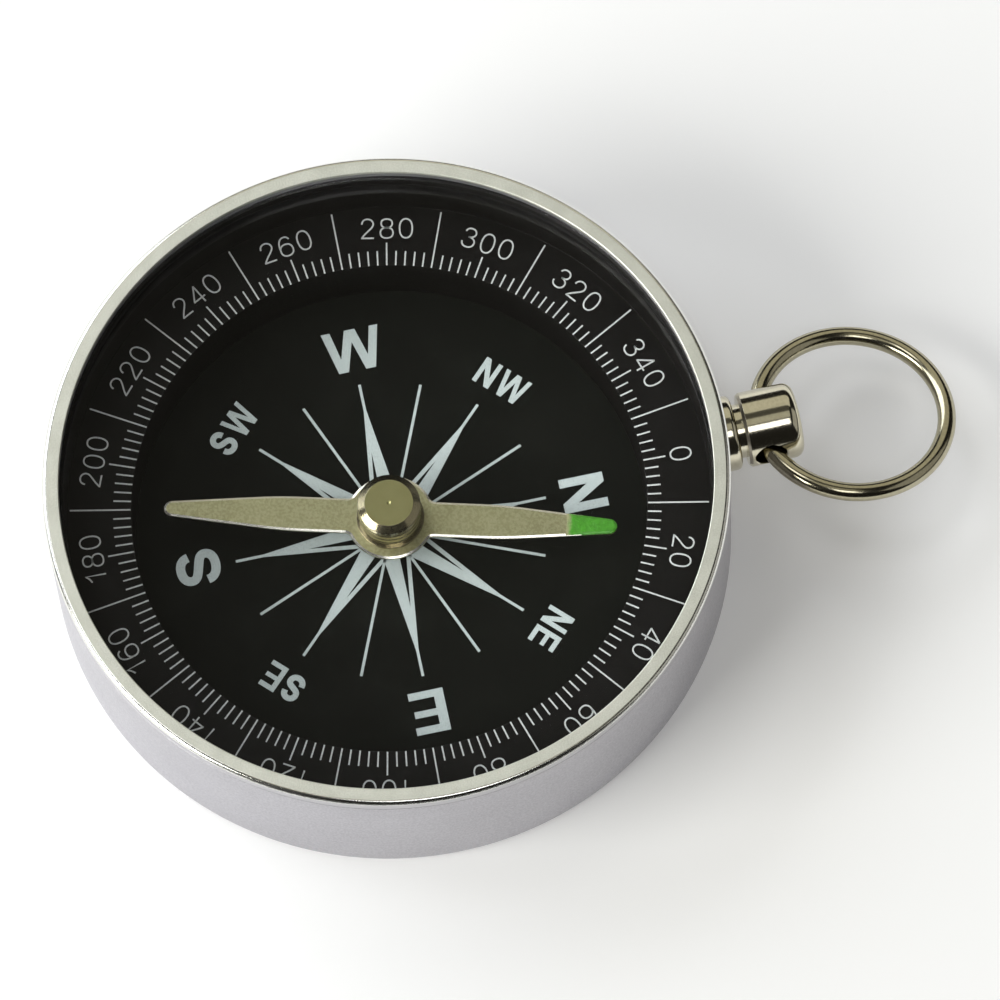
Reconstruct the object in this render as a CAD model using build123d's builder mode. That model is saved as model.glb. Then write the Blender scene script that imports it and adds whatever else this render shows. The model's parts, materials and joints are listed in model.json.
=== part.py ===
from build123d import *

import os
from math import asin, cos, degrees, radians, sin, sqrt

# A dry pocket compass: a turned cup with a bezel and a lens, a moulded degree ring over a flat dial,
# a needle on a point, and a wire bow ring in a turned stem. Millimetres, +Z up, +Y towards the stem,
# origin at the middle of the flat underside.

# Case cup
case_r = 22.5
case_h = 12.0
floor_t = 0.8
wall_t = 0.65
base_edge_r = 0.6
seam_groove = 0.12

# Bezel ring
bezel_h = 1.0
lip_t = 0.7
lip_w = 1.02
bezel_edge_r = 0.5
lip_break = 0.12
skirt_h = 1.0
skirt_t = 0.3

# Lens
lens_t = 1.8
lens_break = 0.12

# Dial card and moulded degree ring
card_t = 0.25
shelf_h = 4.6
shelf_t = 0.8
scale_band_w = 4.8
inner_wall_t = 0.6
outer_wall_t = 0.55
shelf_break = 0.08

# Pivot
bush_r = 1.6
bush_flange_t = 0.35
bush_boss_r = 0.95
bush_boss_h = 1.1
bush_spigot_r = 1.0
bush_spigot_depth = 0.5
pin_r = 0.4
pin_cone_h = 1.3
pin_point_r = 0.06

# Needle blade, paint and cap
needle_bearing = 15.6
needle_lift = 2.15
blade_t = 0.3
blade_root_w = 2.38
blade_tip_w = 1.04
blade_taper_l = 7.6
blade_bend_r = 30.0
hub_r = 2.9
hub_fillet = 0.5
paint_length = 3.3
paint_t = 0.05
paint_inset = 0.06
cap_r = 2.08
cap_h = 2.8
cap_bevel_w = 0.53
cap_bevel_h = 0.31
cap_flange_r = 2.25
cap_flange_t = 0.15
cap_groove_count = 3
cap_groove_w = 0.16
cap_groove_depth = 0.1
cap_spigot_r = 1.3
cap_stake_r = 1.6
cap_stake_t = 0.15
cap_bore_r = 0.95
cap_dimple_r = 0.15
cap_dimple_depth = 0.08
jewel_r = 0.75
jewel_h = 0.65
jewel_roof = 0.6
jewel_cup_r = 0.5
jewel_cup_depth = 0.35

# Bow stem
stem_z = 6.0
shank_r = 1.2
shank_flare = 0.25
flange_r = 2.5
flange_t = 0.9
flange_round = 0.35
neck_r = 1.8
neck_l = 0.45
head_face_r = 2.35
head_r = 2.5
head_l = 3.9
head_flare_l = 0.2
head_round = 0.7
head_crown = 0.2
hole_land = 0.06
hole_mouth_round = 0.2
hole_roll = 13.0

# Bow ring
bow_r = 6.29
wire_r = 0.61
bow_droop = 8.0
bow_split = 0.15

# Clearances
card_clear = 0.1
ring_clear = 0.05
lens_clear = 0.05
point_clear = 0.02
tip_clear = 2.0
bow_clear = 0.12
overrun = 1.0

# Levels and radii that the pieces share
bore_r = case_r - wall_t
rabbet_r = bore_r + skirt_t
seam_z = case_h - bezel_h
skirt_z = seam_z - skirt_h
lip_r = case_r - lip_w
lens_top = case_h - lip_t
lens_bottom = lens_top - lens_t
card_top = floor_t + card_t
shelf_top = card_top + shelf_h
scale_outer_r = bore_r - ring_clear
scale_inner_r = scale_outer_r - scale_band_w
blade_half_length = scale_inner_r - tip_clear
blade_z = card_top + needle_lift
blade_top = blade_z + blade_t
cap_top = blade_top + cap_h
jewel_top = cap_top - jewel_roof
jewel_z = jewel_top - jewel_h
pin_tip = jewel_z + jewel_cup_depth - point_clear

# Stem and ring: the hinge runs along the cross hole, which is rolled about the stem
flange_face = case_r + flange_t
head_face = flange_face + neck_l
head_tip = head_face + head_l
bow_sag = (bow_r - sqrt(bow_r**2 - head_r**2)) / 2
hole_r = wire_r + bow_sag + bow_clear
hole_y = head_face + head_flare_l + hole_land + hole_mouth_round + hole_r
hinge_point = Vector(0, hole_y, stem_z)
hinge_dir = Vector(cos(radians(hole_roll)), 0, sin(radians(hole_roll)))
hinge_up = Vector(-sin(radians(hole_roll)), 0, cos(radians(hole_roll)))
stem_dir = Vector(0, 1, 0)
bow_out = stem_dir * cos(radians(bow_droop)) - hinge_up * sin(radians(bow_droop))
bow_normal = hinge_dir.cross(bow_out)
bow_centre = hinge_point + bow_out * (bow_r - bow_sag)

stem_plane = Plane.XY.offset(stem_z)
stem_axis = Axis((0, 0, stem_z), (0, 1, 0))
hole_plane = Plane(origin=hinge_point, x_dir=stem_dir, z_dir=hinge_dir)
needle_plane = Plane.XY.rotated((0, 0, -needle_bearing))

os.makedirs("parts", exist_ok=True)

# Case cup: turned outline, a rabbet for the bezel's skirt, holes for the pivot bush and the stem
with BuildPart() as case_body:
    with BuildSketch(Plane.XZ):
        with BuildLine():
            Polyline(
                (0, 0),
                (case_r, 0),
                (case_r, seam_z - seam_groove),
                (case_r - seam_groove, seam_z),
                (rabbet_r, seam_z),
                (rabbet_r, skirt_z),
                (bore_r, skirt_z),
                (bore_r, floor_t),
                (0, floor_t),
                close=True,
            )
        make_face()
    revolve(axis=Axis.Z)
    fillet(case_body.edges().filter_by(GeomType.CIRCLE).group_by(Axis.Z)[0], base_edge_r)
    with BuildSketch(Plane.XY.offset(floor_t)):
        Circle(bush_spigot_r)
    extrude(amount=-bush_spigot_depth, mode=Mode.SUBTRACT)
    with BuildSketch(stem_plane):
        with BuildLine():
            Polyline(
                (0, bore_r - overrun),
                (shank_r + shank_flare + overrun, bore_r - overrun),
                (shank_r, bore_r + shank_flare),
                (shank_r, case_r + overrun),
                (0, case_r + overrun),
                close=True,
            )
        make_face()
    revolve(axis=stem_axis, mode=Mode.SUBTRACT)
case_body.part.label = "case_body"
export_step(case_body.part, "parts/case_body.step")

# Bezel ring: a rim with a lip over the lens and a skirt inside the cup
with BuildPart() as bezel_ring:
    with BuildSketch(Plane.XZ):
        with BuildLine():
            Polyline(
                (lip_r, lens_top),
                (bore_r, lens_top),
                (bore_r, skirt_z),
                (rabbet_r, skirt_z),
                (rabbet_r, seam_z),
                (case_r - seam_groove, seam_z),
                (case_r, seam_z + seam_groove),
                (case_r, case_h),
                (lip_r, case_h),
                close=True,
            )
        make_face()
    revolve(axis=Axis.Z)
    rim_edges = bezel_ring.edges().filter_by(GeomType.CIRCLE).group_by(Axis.Z)[-1].sort_by(SortBy.RADIUS)
    fillet(rim_edges[-1], bezel_edge_r)
    chamfer(rim_edges[0], lip_break)
bezel_ring.part.label = "bezel_ring"
export_step(bezel_ring.part, "parts/bezel_ring.step")

# Lens: a flat clear disc with broken edges
with BuildPart() as lens:
    with BuildSketch(Plane.XY.offset(lens_bottom)):
        Circle(bore_r - lens_clear)
    extrude(amount=lens_t)
    chamfer(lens.edges().filter_by(GeomType.CIRCLE), lens_break)
lens.part.label = "lens"
export_step(lens.part, "parts/lens.step")

# Degree ring: a moulded channel, open below, whose outer wall carries the lens
with BuildPart() as degree_ring:
    with BuildSketch(Plane.XZ):
        with BuildLine():
            Polyline(
                (scale_inner_r, card_top),
                (scale_inner_r + inner_wall_t, card_top),
                (scale_inner_r + inner_wall_t, shelf_top - shelf_t),
                (scale_outer_r - outer_wall_t, shelf_top - shelf_t),
                (scale_outer_r - outer_wall_t, card_top),
                (scale_outer_r, card_top),
                (scale_outer_r, lens_bottom),
                (scale_outer_r - outer_wall_t, lens_bottom),
                (scale_outer_r - outer_wall_t, shelf_top),
                (scale_inner_r + shelf_break, shelf_top),
                (scale_inner_r, shelf_top - shelf_break),
                close=True,
            )
        make_face()
    revolve(axis=Axis.Z)
degree_ring.part.label = "degree_ring"
export_step(degree_ring.part, "parts/degree_ring.step")

# Dial plate: a thin card on the floor, held down by the degree ring
with BuildPart() as dial_plate:
    with BuildSketch(Plane.XY.offset(floor_t)):
        Circle(bore_r - card_clear)
        Circle(bush_spigot_r, mode=Mode.SUBTRACT)
    extrude(amount=card_t)
dial_plate.part.label = "dial_plate"
export_step(dial_plate.part, "parts/dial_plate.step")

# Pivot base: a bush pressed into the floor through the card
with BuildPart() as pivot_base:
    with BuildSketch(Plane.XZ):
        with BuildLine():
            Polyline(
                (0, floor_t - bush_spigot_depth),
                (bush_spigot_r, floor_t - bush_spigot_depth),
                (bush_spigot_r, card_top),
                (bush_r, card_top),
                (bush_r, card_top + bush_flange_t),
                (bush_boss_r, card_top + bush_flange_t),
                (bush_boss_r, card_top + bush_boss_h),
                (0, card_top + bush_boss_h),
                close=True,
            )
        make_face()
    revolve(axis=Axis.Z)
    with BuildSketch(Plane.XY.offset(card_top)):
        Circle(pin_r)
    extrude(amount=bush_boss_h, mode=Mode.SUBTRACT)
pivot_base.part.label = "pivot_base"
export_step(pivot_base.part, "parts/pivot_base.step")

# Pivot pin: a straight pin with a ground point
with BuildPart() as pivot_pin:
    with BuildSketch(Plane.XZ):
        with BuildLine():
            Polyline(
                (0, card_top),
                (pin_r, card_top),
                (pin_r, pin_tip - pin_cone_h),
                (pin_point_r, pin_tip),
                (0, pin_tip),
                close=True,
            )
        make_face()
    revolve(axis=Axis.Z)
pivot_pin.part.label = "pivot_pin"
export_step(pivot_pin.part, "parts/pivot_pin.step")

# Needle blade: two arms on a round hub, parallel at first, then tapered to round tips
blade_bend_y = blade_half_length - blade_taper_l
blade_tip_y = blade_half_length - blade_tip_w / 2
with BuildPart() as needle_blade:
    with BuildSketch(needle_plane.offset(blade_z)) as blade_outline:
        with BuildLine():
            Polyline(
                (-blade_root_w / 2, -blade_bend_y),
                (-blade_root_w / 2, blade_bend_y),
                (-blade_tip_w / 2, blade_tip_y),
                (blade_tip_w / 2, blade_tip_y),
                (blade_root_w / 2, blade_bend_y),
                (blade_root_w / 2, -blade_bend_y),
                (blade_tip_w / 2, -blade_tip_y),
                (-blade_tip_w / 2, -blade_tip_y),
                close=True,
            )
        make_face()
        bends = blade_outline.vertices().filter_by(lambda corner: abs(corner.Y) < blade_tip_y - blade_tip_w)
        fillet(bends, blade_bend_r)
        with Locations((0, blade_tip_y), (0, -blade_tip_y)):
            Circle(blade_tip_w / 2)
        Circle(hub_r)
        armpits = blade_outline.vertices().filter_by(
            lambda corner: abs(corner.X) < (blade_root_w / 2 + hub_r) / 2 and abs(corner.Y) < hub_r
        )
        fillet(armpits, hub_fillet)
        Circle(cap_spigot_r, mode=Mode.SUBTRACT)
    extrude(amount=blade_t)
needle_blade.part.label = "needle_blade"
export_step(needle_blade.part, "parts/needle_blade.step")

# North paint: a thin coat on the north end of the blade
taper_share = (blade_taper_l - paint_length) / (blade_taper_l - blade_tip_w / 2)
paint_root_w = blade_root_w + (blade_tip_w - blade_root_w) * taper_share
with BuildPart() as north_paint:
    with BuildSketch(needle_plane.offset(blade_top)):
        with BuildLine():
            Polyline(
                (-paint_root_w / 2 + paint_inset, blade_half_length - paint_length),
                (-blade_tip_w / 2 + paint_inset, blade_tip_y),
                (blade_tip_w / 2 - paint_inset, blade_tip_y),
                (paint_root_w / 2 - paint_inset, blade_half_length - paint_length),
                close=True,
            )
        make_face()
        with Locations((0, blade_tip_y)):
            Circle(blade_tip_w / 2 - paint_inset)
    extrude(amount=paint_t)
north_paint.part.label = "north_paint"
export_step(north_paint.part, "parts/north_paint.step")

# Needle cap: turned, with a base flange, fine grooves, and a spigot staked under the blade
groove_step = (cap_h - cap_flange_t - cap_bevel_h) / (cap_groove_count + 1)
with BuildPart() as needle_cap:
    with BuildSketch(Plane.XZ):
        with BuildLine():
            Polyline(
                (cap_bore_r, blade_z - cap_stake_t),
                (cap_stake_r, blade_z - cap_stake_t),
                (cap_stake_r, blade_z),
                (cap_spigot_r, blade_z),
                (cap_spigot_r, blade_top),
                (cap_flange_r, blade_top),
                (cap_flange_r, blade_top + cap_flange_t),
                (cap_r, blade_top + cap_flange_t),
                (cap_r, cap_top - cap_bevel_h),
                (cap_r - cap_bevel_w, cap_top),
                (cap_dimple_r, cap_top),
                (0, cap_top - cap_dimple_depth),
                (0, jewel_top),
                (jewel_r, jewel_top),
                (jewel_r, jewel_z),
                (cap_bore_r, jewel_z),
                close=True,
            )
        make_face()
        for turn in range(cap_groove_count):
            with Locations((cap_r, blade_top + cap_flange_t + groove_step * (turn + 1))):
                Rectangle(cap_groove_depth * 2, cap_groove_w, mode=Mode.SUBTRACT)
    revolve(axis=Axis.Z)
needle_cap.part.label = "needle_cap"
export_step(needle_cap.part, "parts/needle_cap.step")

# Cap jewel: a small cup, open below, that runs on the pin's point
with BuildPart() as cap_jewel:
    with BuildSketch(Plane.XZ):
        with BuildLine():
            Polyline(
                (jewel_cup_r, jewel_z),
                (jewel_r, jewel_z),
                (jewel_r, jewel_top),
                (0, jewel_top),
                (0, jewel_z + jewel_cup_depth),
                (pin_point_r, jewel_z + jewel_cup_depth),
                close=True,
            )
        make_face()
    revolve(axis=Axis.Z)
cap_jewel.part.label = "cap_jewel"
export_step(cap_jewel.part, "parts/cap_jewel.step")

# Bow stem: flange, neck and domed head, saddled to the cup, with a shank flared inside the wall
crown_r = (head_r**2 + head_crown**2) / (2 * head_crown)
crown_turn = degrees(asin(head_r / crown_r))
with BuildPart() as bow_stem:
    with BuildSketch(stem_plane) as stem_outline:
        with BuildLine():
            Polyline(
                (0, bore_r),
                (flange_r, bore_r),
                (flange_r, flange_face),
                (neck_r, flange_face),
                (neck_r, head_face),
                (head_face_r, head_face),
                (head_r, head_face + head_flare_l),
                (head_r, head_tip - head_crown),
            )
            CenterArc((0, head_tip - crown_r), crown_r, 90 - crown_turn, crown_turn)
            Line((0, head_tip), (0, bore_r))
        make_face()
        fillet(stem_outline.vertices().sort_by_distance((head_r, head_tip - head_crown))[0], head_round)
        fillet(stem_outline.vertices().sort_by_distance((flange_r, flange_face))[0], flange_round)
    revolve(axis=stem_axis)
    with BuildSketch(Plane.XY):
        Circle(case_r)
    extrude(amount=case_h, mode=Mode.SUBTRACT)
    with BuildSketch(stem_plane):
        with BuildLine():
            Polyline(
                (0, bore_r - overrun),
                (shank_r + shank_flare + overrun, bore_r - overrun),
                (shank_r, bore_r + shank_flare),
                (shank_r, case_r + flange_t / 2),
                (0, case_r + flange_t / 2),
                close=True,
            )
        make_face()
    revolve(axis=stem_axis)
    with BuildSketch(Plane.XY):
        Circle(bore_r)
    extrude(amount=case_h, mode=Mode.SUBTRACT)
    with BuildSketch(hole_plane):
        Circle(hole_r)
    extrude(amount=head_r + overrun, both=True, mode=Mode.SUBTRACT)
    mouths = bow_stem.edges(Select.LAST).filter_by(GeomType.LINE, reverse=True)
    fillet(mouths, hole_mouth_round)
bow_stem.part.label = "bow_stem"
export_step(bow_stem.part, "parts/bow_stem.step")

# Bow ring: round wire, split inside the cross hole
split_turn = degrees(bow_split / bow_r)
with BuildPart() as bow_ring:
    with BuildSketch(Plane(origin=bow_centre, x_dir=-bow_out, z_dir=hinge_dir)):
        with Locations((bow_r, 0)):
            Circle(wire_r)
    revolve(axis=Axis(bow_centre, bow_normal), revolution_arc=360 - split_turn)
bow_ring.part.label = "bow_ring"
export_step(bow_ring.part, "parts/bow_ring.step")
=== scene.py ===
"""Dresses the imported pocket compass: turned case, printed dial, needle, bow and a plain studio."""

import json
import logging
import math
from collections.abc import Sequence
from dataclasses import dataclass, field
from enum import Enum, IntEnum
from typing import Any

import bmesh
import bpy
from mathutils import Matrix, Vector


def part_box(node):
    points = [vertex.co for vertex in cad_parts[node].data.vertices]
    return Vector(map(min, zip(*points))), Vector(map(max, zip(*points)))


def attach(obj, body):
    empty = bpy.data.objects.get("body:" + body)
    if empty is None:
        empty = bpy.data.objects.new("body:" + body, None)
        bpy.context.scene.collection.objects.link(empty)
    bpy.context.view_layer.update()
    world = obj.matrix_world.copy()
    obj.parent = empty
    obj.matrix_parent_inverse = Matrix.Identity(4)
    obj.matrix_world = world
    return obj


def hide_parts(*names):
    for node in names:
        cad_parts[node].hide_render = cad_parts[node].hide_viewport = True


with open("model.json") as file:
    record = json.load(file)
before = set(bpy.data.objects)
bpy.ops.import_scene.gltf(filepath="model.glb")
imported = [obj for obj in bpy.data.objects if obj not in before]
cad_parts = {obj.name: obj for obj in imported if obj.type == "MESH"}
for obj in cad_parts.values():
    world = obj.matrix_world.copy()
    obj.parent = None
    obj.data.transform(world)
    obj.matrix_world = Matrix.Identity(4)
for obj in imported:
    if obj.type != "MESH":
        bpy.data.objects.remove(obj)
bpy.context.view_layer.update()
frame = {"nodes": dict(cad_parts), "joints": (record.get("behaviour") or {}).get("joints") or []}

Point = tuple[float, float]
Corner = tuple[float, float, float]
Colour = tuple[float, float, float, float]

LOG = logging.getLogger("compass")
MM = 0.001
FULL_TURN = 360
QUARTER_TURN = 90
AXIS_TOLERANCE = 1e-6
PHASE_TOLERANCE = 0.1
ARC_STEPS = 6
FINE_ARC_STEPS = 10
EDGE_STEPS = 4
CURVE_STEPS = 8
HUG_SPAN = 4
ROUND_SEGMENTS = 256
SMOOTH_CREASE = 30.0
PLATE_CREASE = 12.0
DRILL_CREASE = 25.0
WIRE_CREASE = 60.0
EDGE_SLOPE = (0.5, 0.99)
NOISE_MIDDLE = 0.5
NOISE_DETAIL = 2.0
FINE_DETAIL = 3.0
CLOUD_DETAIL = 4.0
PATCH_SPAN = (0.3, 0.7)
FLECK_SPAN = (0.35, 0.65)
CLOUD_SPAN = (0.45, 0.8)
THIN_SPAN = (0.32, 0.5)
STREAK_SPAN = (0.35, 0.7)
BLACK: Colour = (0.0, 0.0, 0.0, 1.0)
WHITE: Colour = (1.0, 1.0, 1.0, 1.0)


class Body(Enum):
    """The bodies that pieces ride on."""

    CASE = "case"
    NEEDLE = "needle"
    BOW = "bow"


class Turning(Enum):
    """Which way the fine tool lines of a turned surface run."""

    NONE = "none"
    FACE = "face"
    SIDE = "side"


class BladeSlot(IntEnum):
    """Order of the materials on the needle's blade."""

    FLAT = 0
    # EDGE is the slot of the pale painted highlight on the bare rolled edges.
    EDGE = 1
    PAINT = 2


class Wire:
    """A shader socket whose arithmetic adds Math nodes."""

    def __init__(self, graph: "Graph", socket: bpy.types.NodeSocket) -> None:
        """Keep the socket and the graph that it belongs to."""
        self.graph = graph
        self.socket = socket

    def __add__(self, other: Any) -> "Wire":
        """Sum."""
        return self.graph.math("ADD", self, other)

    def __radd__(self, other: Any) -> "Wire":
        """Sum with a number on the left."""
        return self.graph.math("ADD", other, self)

    def __sub__(self, other: Any) -> "Wire":
        """Difference."""
        return self.graph.math("SUBTRACT", self, other)

    def __rsub__(self, other: Any) -> "Wire":
        """Difference from a number on the left."""
        return self.graph.math("SUBTRACT", other, self)

    def __mul__(self, other: Any) -> "Wire":
        """Product."""
        return self.graph.math("MULTIPLY", self, other)

    def __rmul__(self, other: Any) -> "Wire":
        """Product with a number on the left."""
        return self.graph.math("MULTIPLY", other, self)

    def __truediv__(self, other: Any) -> "Wire":
        """Quotient, zero where the divisor is zero."""
        return self.graph.math("DIVIDE", self, other)

    def __rtruediv__(self, other: Any) -> "Wire":
        """Quotient of a number on the left."""
        return self.graph.math("DIVIDE", other, self)

    def __pow__(self, other: Any) -> "Wire":
        """Power."""
        return self.graph.math("POWER", self, other)

    def __rpow__(self, other: Any) -> "Wire":
        """Power of a number on the left."""
        return self.graph.math("POWER", other, self)


class Graph:
    """A node tree that is filled through one node-making method."""

    def __init__(self, tree: bpy.types.NodeTree) -> None:
        """Empty the tree and keep it."""
        self.tree = tree
        tree.nodes.clear()

    def node(
        self,
        kind: str,
        settings: dict[str, Any] | None = None,
        sockets: dict[str | int, Any] | None = None,
    ) -> bpy.types.Node:
        """Add one node.

        Args:
            kind: node type's identifier.
            settings: properties that are set first.
            sockets: values or wires of its inputs, by name or index.

        Returns:
            The new node.
        """
        made = self.tree.nodes.new(kind)
        for key, value in (settings or {}).items():
            setattr(made, key, value)
        for key, value in (sockets or {}).items():
            if isinstance(value, Wire):
                self.tree.links.new(value.socket, made.inputs[key])
            else:
                made.inputs[key].default_value = value
        return made

    def add(
        self,
        kind: str,
        settings: dict[str, Any] | None = None,
        sockets: dict[str | int, Any] | None = None,
        output: str | int = 0,
    ) -> Wire:
        """Add one node and take an output of it.

        Args:
            kind: node type's identifier.
            settings: properties that are set first.
            sockets: values or wires of its inputs, by name or index.
            output: which output to take.

        Returns:
            The output as a wire.
        """
        return Wire(self, self.node(kind, settings, sockets).outputs[output])

    def math(self, operation: str, *operands: Any) -> Wire:
        """Add one Math node.

        Args:
            operation: the operation's name.
            operands: its operands in order, wires or numbers.

        Returns:
            The node's result.
        """
        return self.add("ShaderNodeMath", {"operation": operation}, dict(enumerate(operands)))

    def mix(self, share: Wire, first: Any, second: Any) -> Wire:
        """Mix two colours.

        Args:
            share: how much of the second colour.
            first: colour at share 0, a wire or a value.
            second: colour at share 1, a wire or a value.

        Returns:
            The mixed colour.
        """
        sockets = {0: share, 6: first, 7: second}
        return self.add("ShaderNodeMix", {"data_type": "RGBA"}, sockets, 2)

    def millimetres(self) -> Wire:
        """Object coordinates in millimetres."""
        sockets = {0: self.add("ShaderNodeTexCoord", output="Object"), "Scale": 1 / MM}
        return self.add("ShaderNodeVectorMath", {"operation": "SCALE"}, sockets)

    def axes(self, vector: Wire) -> tuple[Wire, Wire, Wire]:
        """The three parts of a vector."""
        parts = self.node("ShaderNodeSeparateXYZ", sockets={0: vector}).outputs
        return Wire(self, parts[0]), Wire(self, parts[1]), Wire(self, parts[2])

    def radius(self, place: Wire) -> Wire:
        """Distance of a place from the upright axis."""
        x, y, _ = self.axes(place)
        return (x * x + y * y) ** 0.5

    def along(self, vector: Wire, direction: Sequence[float]) -> Wire:
        """How far a vector reaches along a direction."""
        sockets = {0: vector, 1: tuple(direction)}
        return self.add("ShaderNodeVectorMath", {"operation": "DOT_PRODUCT"}, sockets, "Value")

    def circle(self, turn: Wire) -> tuple[Wire, Wire]:
        """Sine and cosine of a turn in radians."""
        return self.math("SINE", turn), self.math("COSINE", turn)

    def noise(self, place: Wire, size: float, detail: float = NOISE_DETAIL) -> Wire:
        """Solid noise.

        Args:
            place: coordinates in millimetres.
            size: size of a patch of the noise, millimetres.
            detail: octaves of finer noise.

        Returns:
            Noise about a half.
        """
        sockets = {"Vector": place, "Scale": 1 / size, "Detail": detail}
        return self.add("ShaderNodeTexNoise", sockets=sockets)

    def lines(self, run: Wire, pitch: float) -> Wire:
        """Uneven lines across a run.

        Args:
            run: distance across the lines, millimetres.
            pitch: mean spacing of the lines, millimetres.

        Returns:
            Noise about a half that changes along the run alone.
        """
        sockets = {"W": run, "Scale": 1 / pitch, "Detail": NOISE_DETAIL}
        return self.add("ShaderNodeTexNoise", {"noise_dimensions": "1D"}, sockets)

    def step(self, value: Wire, low: float, high: float) -> Wire:
        """Smooth step from 0 at low to 1 at high."""
        sockets = {"Value": value, "From Min": low, "From Max": high}
        return self.add("ShaderNodeMapRange", {"interpolation_type": "SMOOTHSTEP"}, sockets)

    def bump(self, height: Wire) -> Wire:
        """Surface normal of a relief whose height is in millimetres."""
        sockets = {"Strength": 1.0, "Distance": MM, "Height": height}
        return self.add("ShaderNodeBump", sockets=sockets)


@dataclass(frozen=True)
class Finish:
    """A surface: its name, its main colour and its gloss."""

    name: str
    colour: Colour
    roughness: float

    @property
    def slot(self) -> str:
        """The record's material slot."""
        return self.name

    def material(self) -> bpy.types.Material:
        """Build the material, or find it where it was built before.

        Returns:
            The material.
        """
        label = f"{self.name}_finish"
        found = bpy.data.materials.get(label)
        if found:
            return found
        made = bpy.data.materials.new(label)
        made.use_nodes = True
        graph = Graph(made.node_tree)
        sockets = {"Base Color": self.colour, "Roughness": self.roughness}
        surface = graph.node("ShaderNodeBsdfPrincipled", sockets=sockets)
        self.dress(graph, surface)
        shader = Wire(graph, surface.outputs[0])
        graph.node("ShaderNodeOutputMaterial", sockets={"Surface": shader})
        return made

    def dress(self, graph: Graph, surface: bpy.types.Node) -> None:
        """Add this finish's detail.

        Args:
            graph: the material's node tree.
            surface: its surface shader.
        """
        raise NotImplementedError

    @staticmethod
    def feed(graph: Graph, surface: bpy.types.Node, **wires: Wire) -> None:
        """Link wires to the surface's sockets.

        Args:
            graph: the material's node tree.
            surface: its surface shader.
            wires: a wire for each socket, named with an underscore for each space.
        """
        for key, wire in wires.items():
            graph.tree.links.new(wire.socket, surface.inputs[key.replace("_", " ")])


@dataclass(frozen=True)
class Metal(Finish):
    """Bare or plated metal with mottling, grain and fine tool lines."""

    stain: Colour = (0.5, 0.5, 0.5, 1.0)
    patch: float = 3.0
    grain: float = 0.1
    grain_depth: float = 0.001
    gloss_swing: float = 0.1
    fleck: float = 0.5
    turning: Turning = Turning.NONE
    line_pitch: float = 0.12
    line_depth: float = 0.0

    def mean(self) -> Colour:
        """Colour half-way between the clean and the stained metal."""
        return tuple((clean + stain) / 2 for clean, stain in zip(self.colour, self.stain))

    def dress(self, graph: Graph, surface: bpy.types.Node) -> None:
        """Mottle the colour, vary the gloss and raise the grain and tool lines.

        Args:
            graph: the material's node tree.
            surface: its surface shader.
        """
        surface.inputs["Metallic"].default_value = 1.0
        place = graph.millimetres()
        grain = graph.noise(place, self.grain)
        mottle = graph.step(graph.noise(place, self.patch), *PATCH_SPAN) * (1 - self.fleck)
        mottle = mottle + graph.step(grain, *FLECK_SPAN) * self.fleck
        relief = grain * self.grain_depth
        gloss = (grain - NOISE_MIDDLE) * self.gloss_swing
        if self.turning is not Turning.NONE:
            on_side = self.turning is Turning.SIDE
            run = graph.axes(place)[2] if on_side else graph.radius(place)
            lines = graph.lines(run, self.line_pitch)
            relief = relief + lines * self.line_depth
            gloss = gloss + (lines - NOISE_MIDDLE) * self.gloss_swing
        colour, roughness = self._surface(graph, place, mottle)
        normal = graph.bump(relief)
        self.feed(graph, surface, Base_Color=colour, Roughness=gloss + roughness, Normal=normal)

    def _surface(self, graph: Graph, place: Wire, mottle: Wire) -> tuple[Wire, Wire | float]:
        """Colour and mean roughness at a place.

        Args:
            graph: the material's node tree.
            place: coordinates in millimetres.
            mottle: how stained the metal is there.

        Returns:
            The colour and the roughness.
        """
        return graph.mix(mottle, self.colour, self.stain), self.roughness


@dataclass(frozen=True)
class TurnedMetal(Metal):
    """Metal with a dull turned face and a polished bevel and side round it, which have a colour of
    their own.
    """

    face_radius: float = 1.5
    side_colour: Colour = (0.6, 0.6, 0.6, 1.0)
    side_roughness: float = 0.1
    border: float = 0.03

    def _surface(self, graph: Graph, place: Wire, mottle: Wire) -> tuple[Wire, Wire | float]:
        """Colour and roughness of the face within its radius, and of the side outside it.

        Args:
            graph: the material's node tree.
            place: coordinates in millimetres.
            mottle: how stained the metal is there.

        Returns:
            The colour and the roughness.
        """
        face, _ = super()._surface(graph, place, mottle)
        inner = self.face_radius - self.border
        outside = graph.step(graph.radius(place), inner, self.face_radius)
        roughness = outside * (self.side_roughness - self.roughness) + self.roughness
        # Outside the face the side colour takes over; on the cap it is a darker painted shade.
        return graph.mix(outside, face, self.side_colour), roughness


@dataclass(frozen=True)
class RimMetal(TurnedMetal):
    """Turned metal whose side is polished at the top alone and satin below, darker there as a
    painted shade along the seam.
    """

    skirt_top: float = 11.8
    skirt_colour: Colour = (0.5, 0.5, 0.5, 1.0)
    skirt_roughness: float = 0.4
    skirt_border: float = 0.04

    def _surface(self, graph: Graph, place: Wire, mottle: Wire) -> tuple[Wire, Wire | float]:
        """Colour and roughness of the face and polished edge, and of the skirt under them, whose
        darker colour is painted shade along the seam.

        Args:
            graph: the material's node tree.
            place: coordinates in millimetres.
            mottle: how stained the metal is there.

        Returns:
            The colour and the roughness.
        """
        colour, roughness = super()._surface(graph, place, mottle)
        height = graph.axes(place)[2]
        above = graph.step(height, self.skirt_top - self.skirt_border, self.skirt_top)
        roughness = above * (roughness - self.skirt_roughness) + self.skirt_roughness
        # Below skirt_top the colour darkens: painted shade along the seam under the bezel.
        return graph.mix(above, self.skirt_colour, colour), roughness


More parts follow.
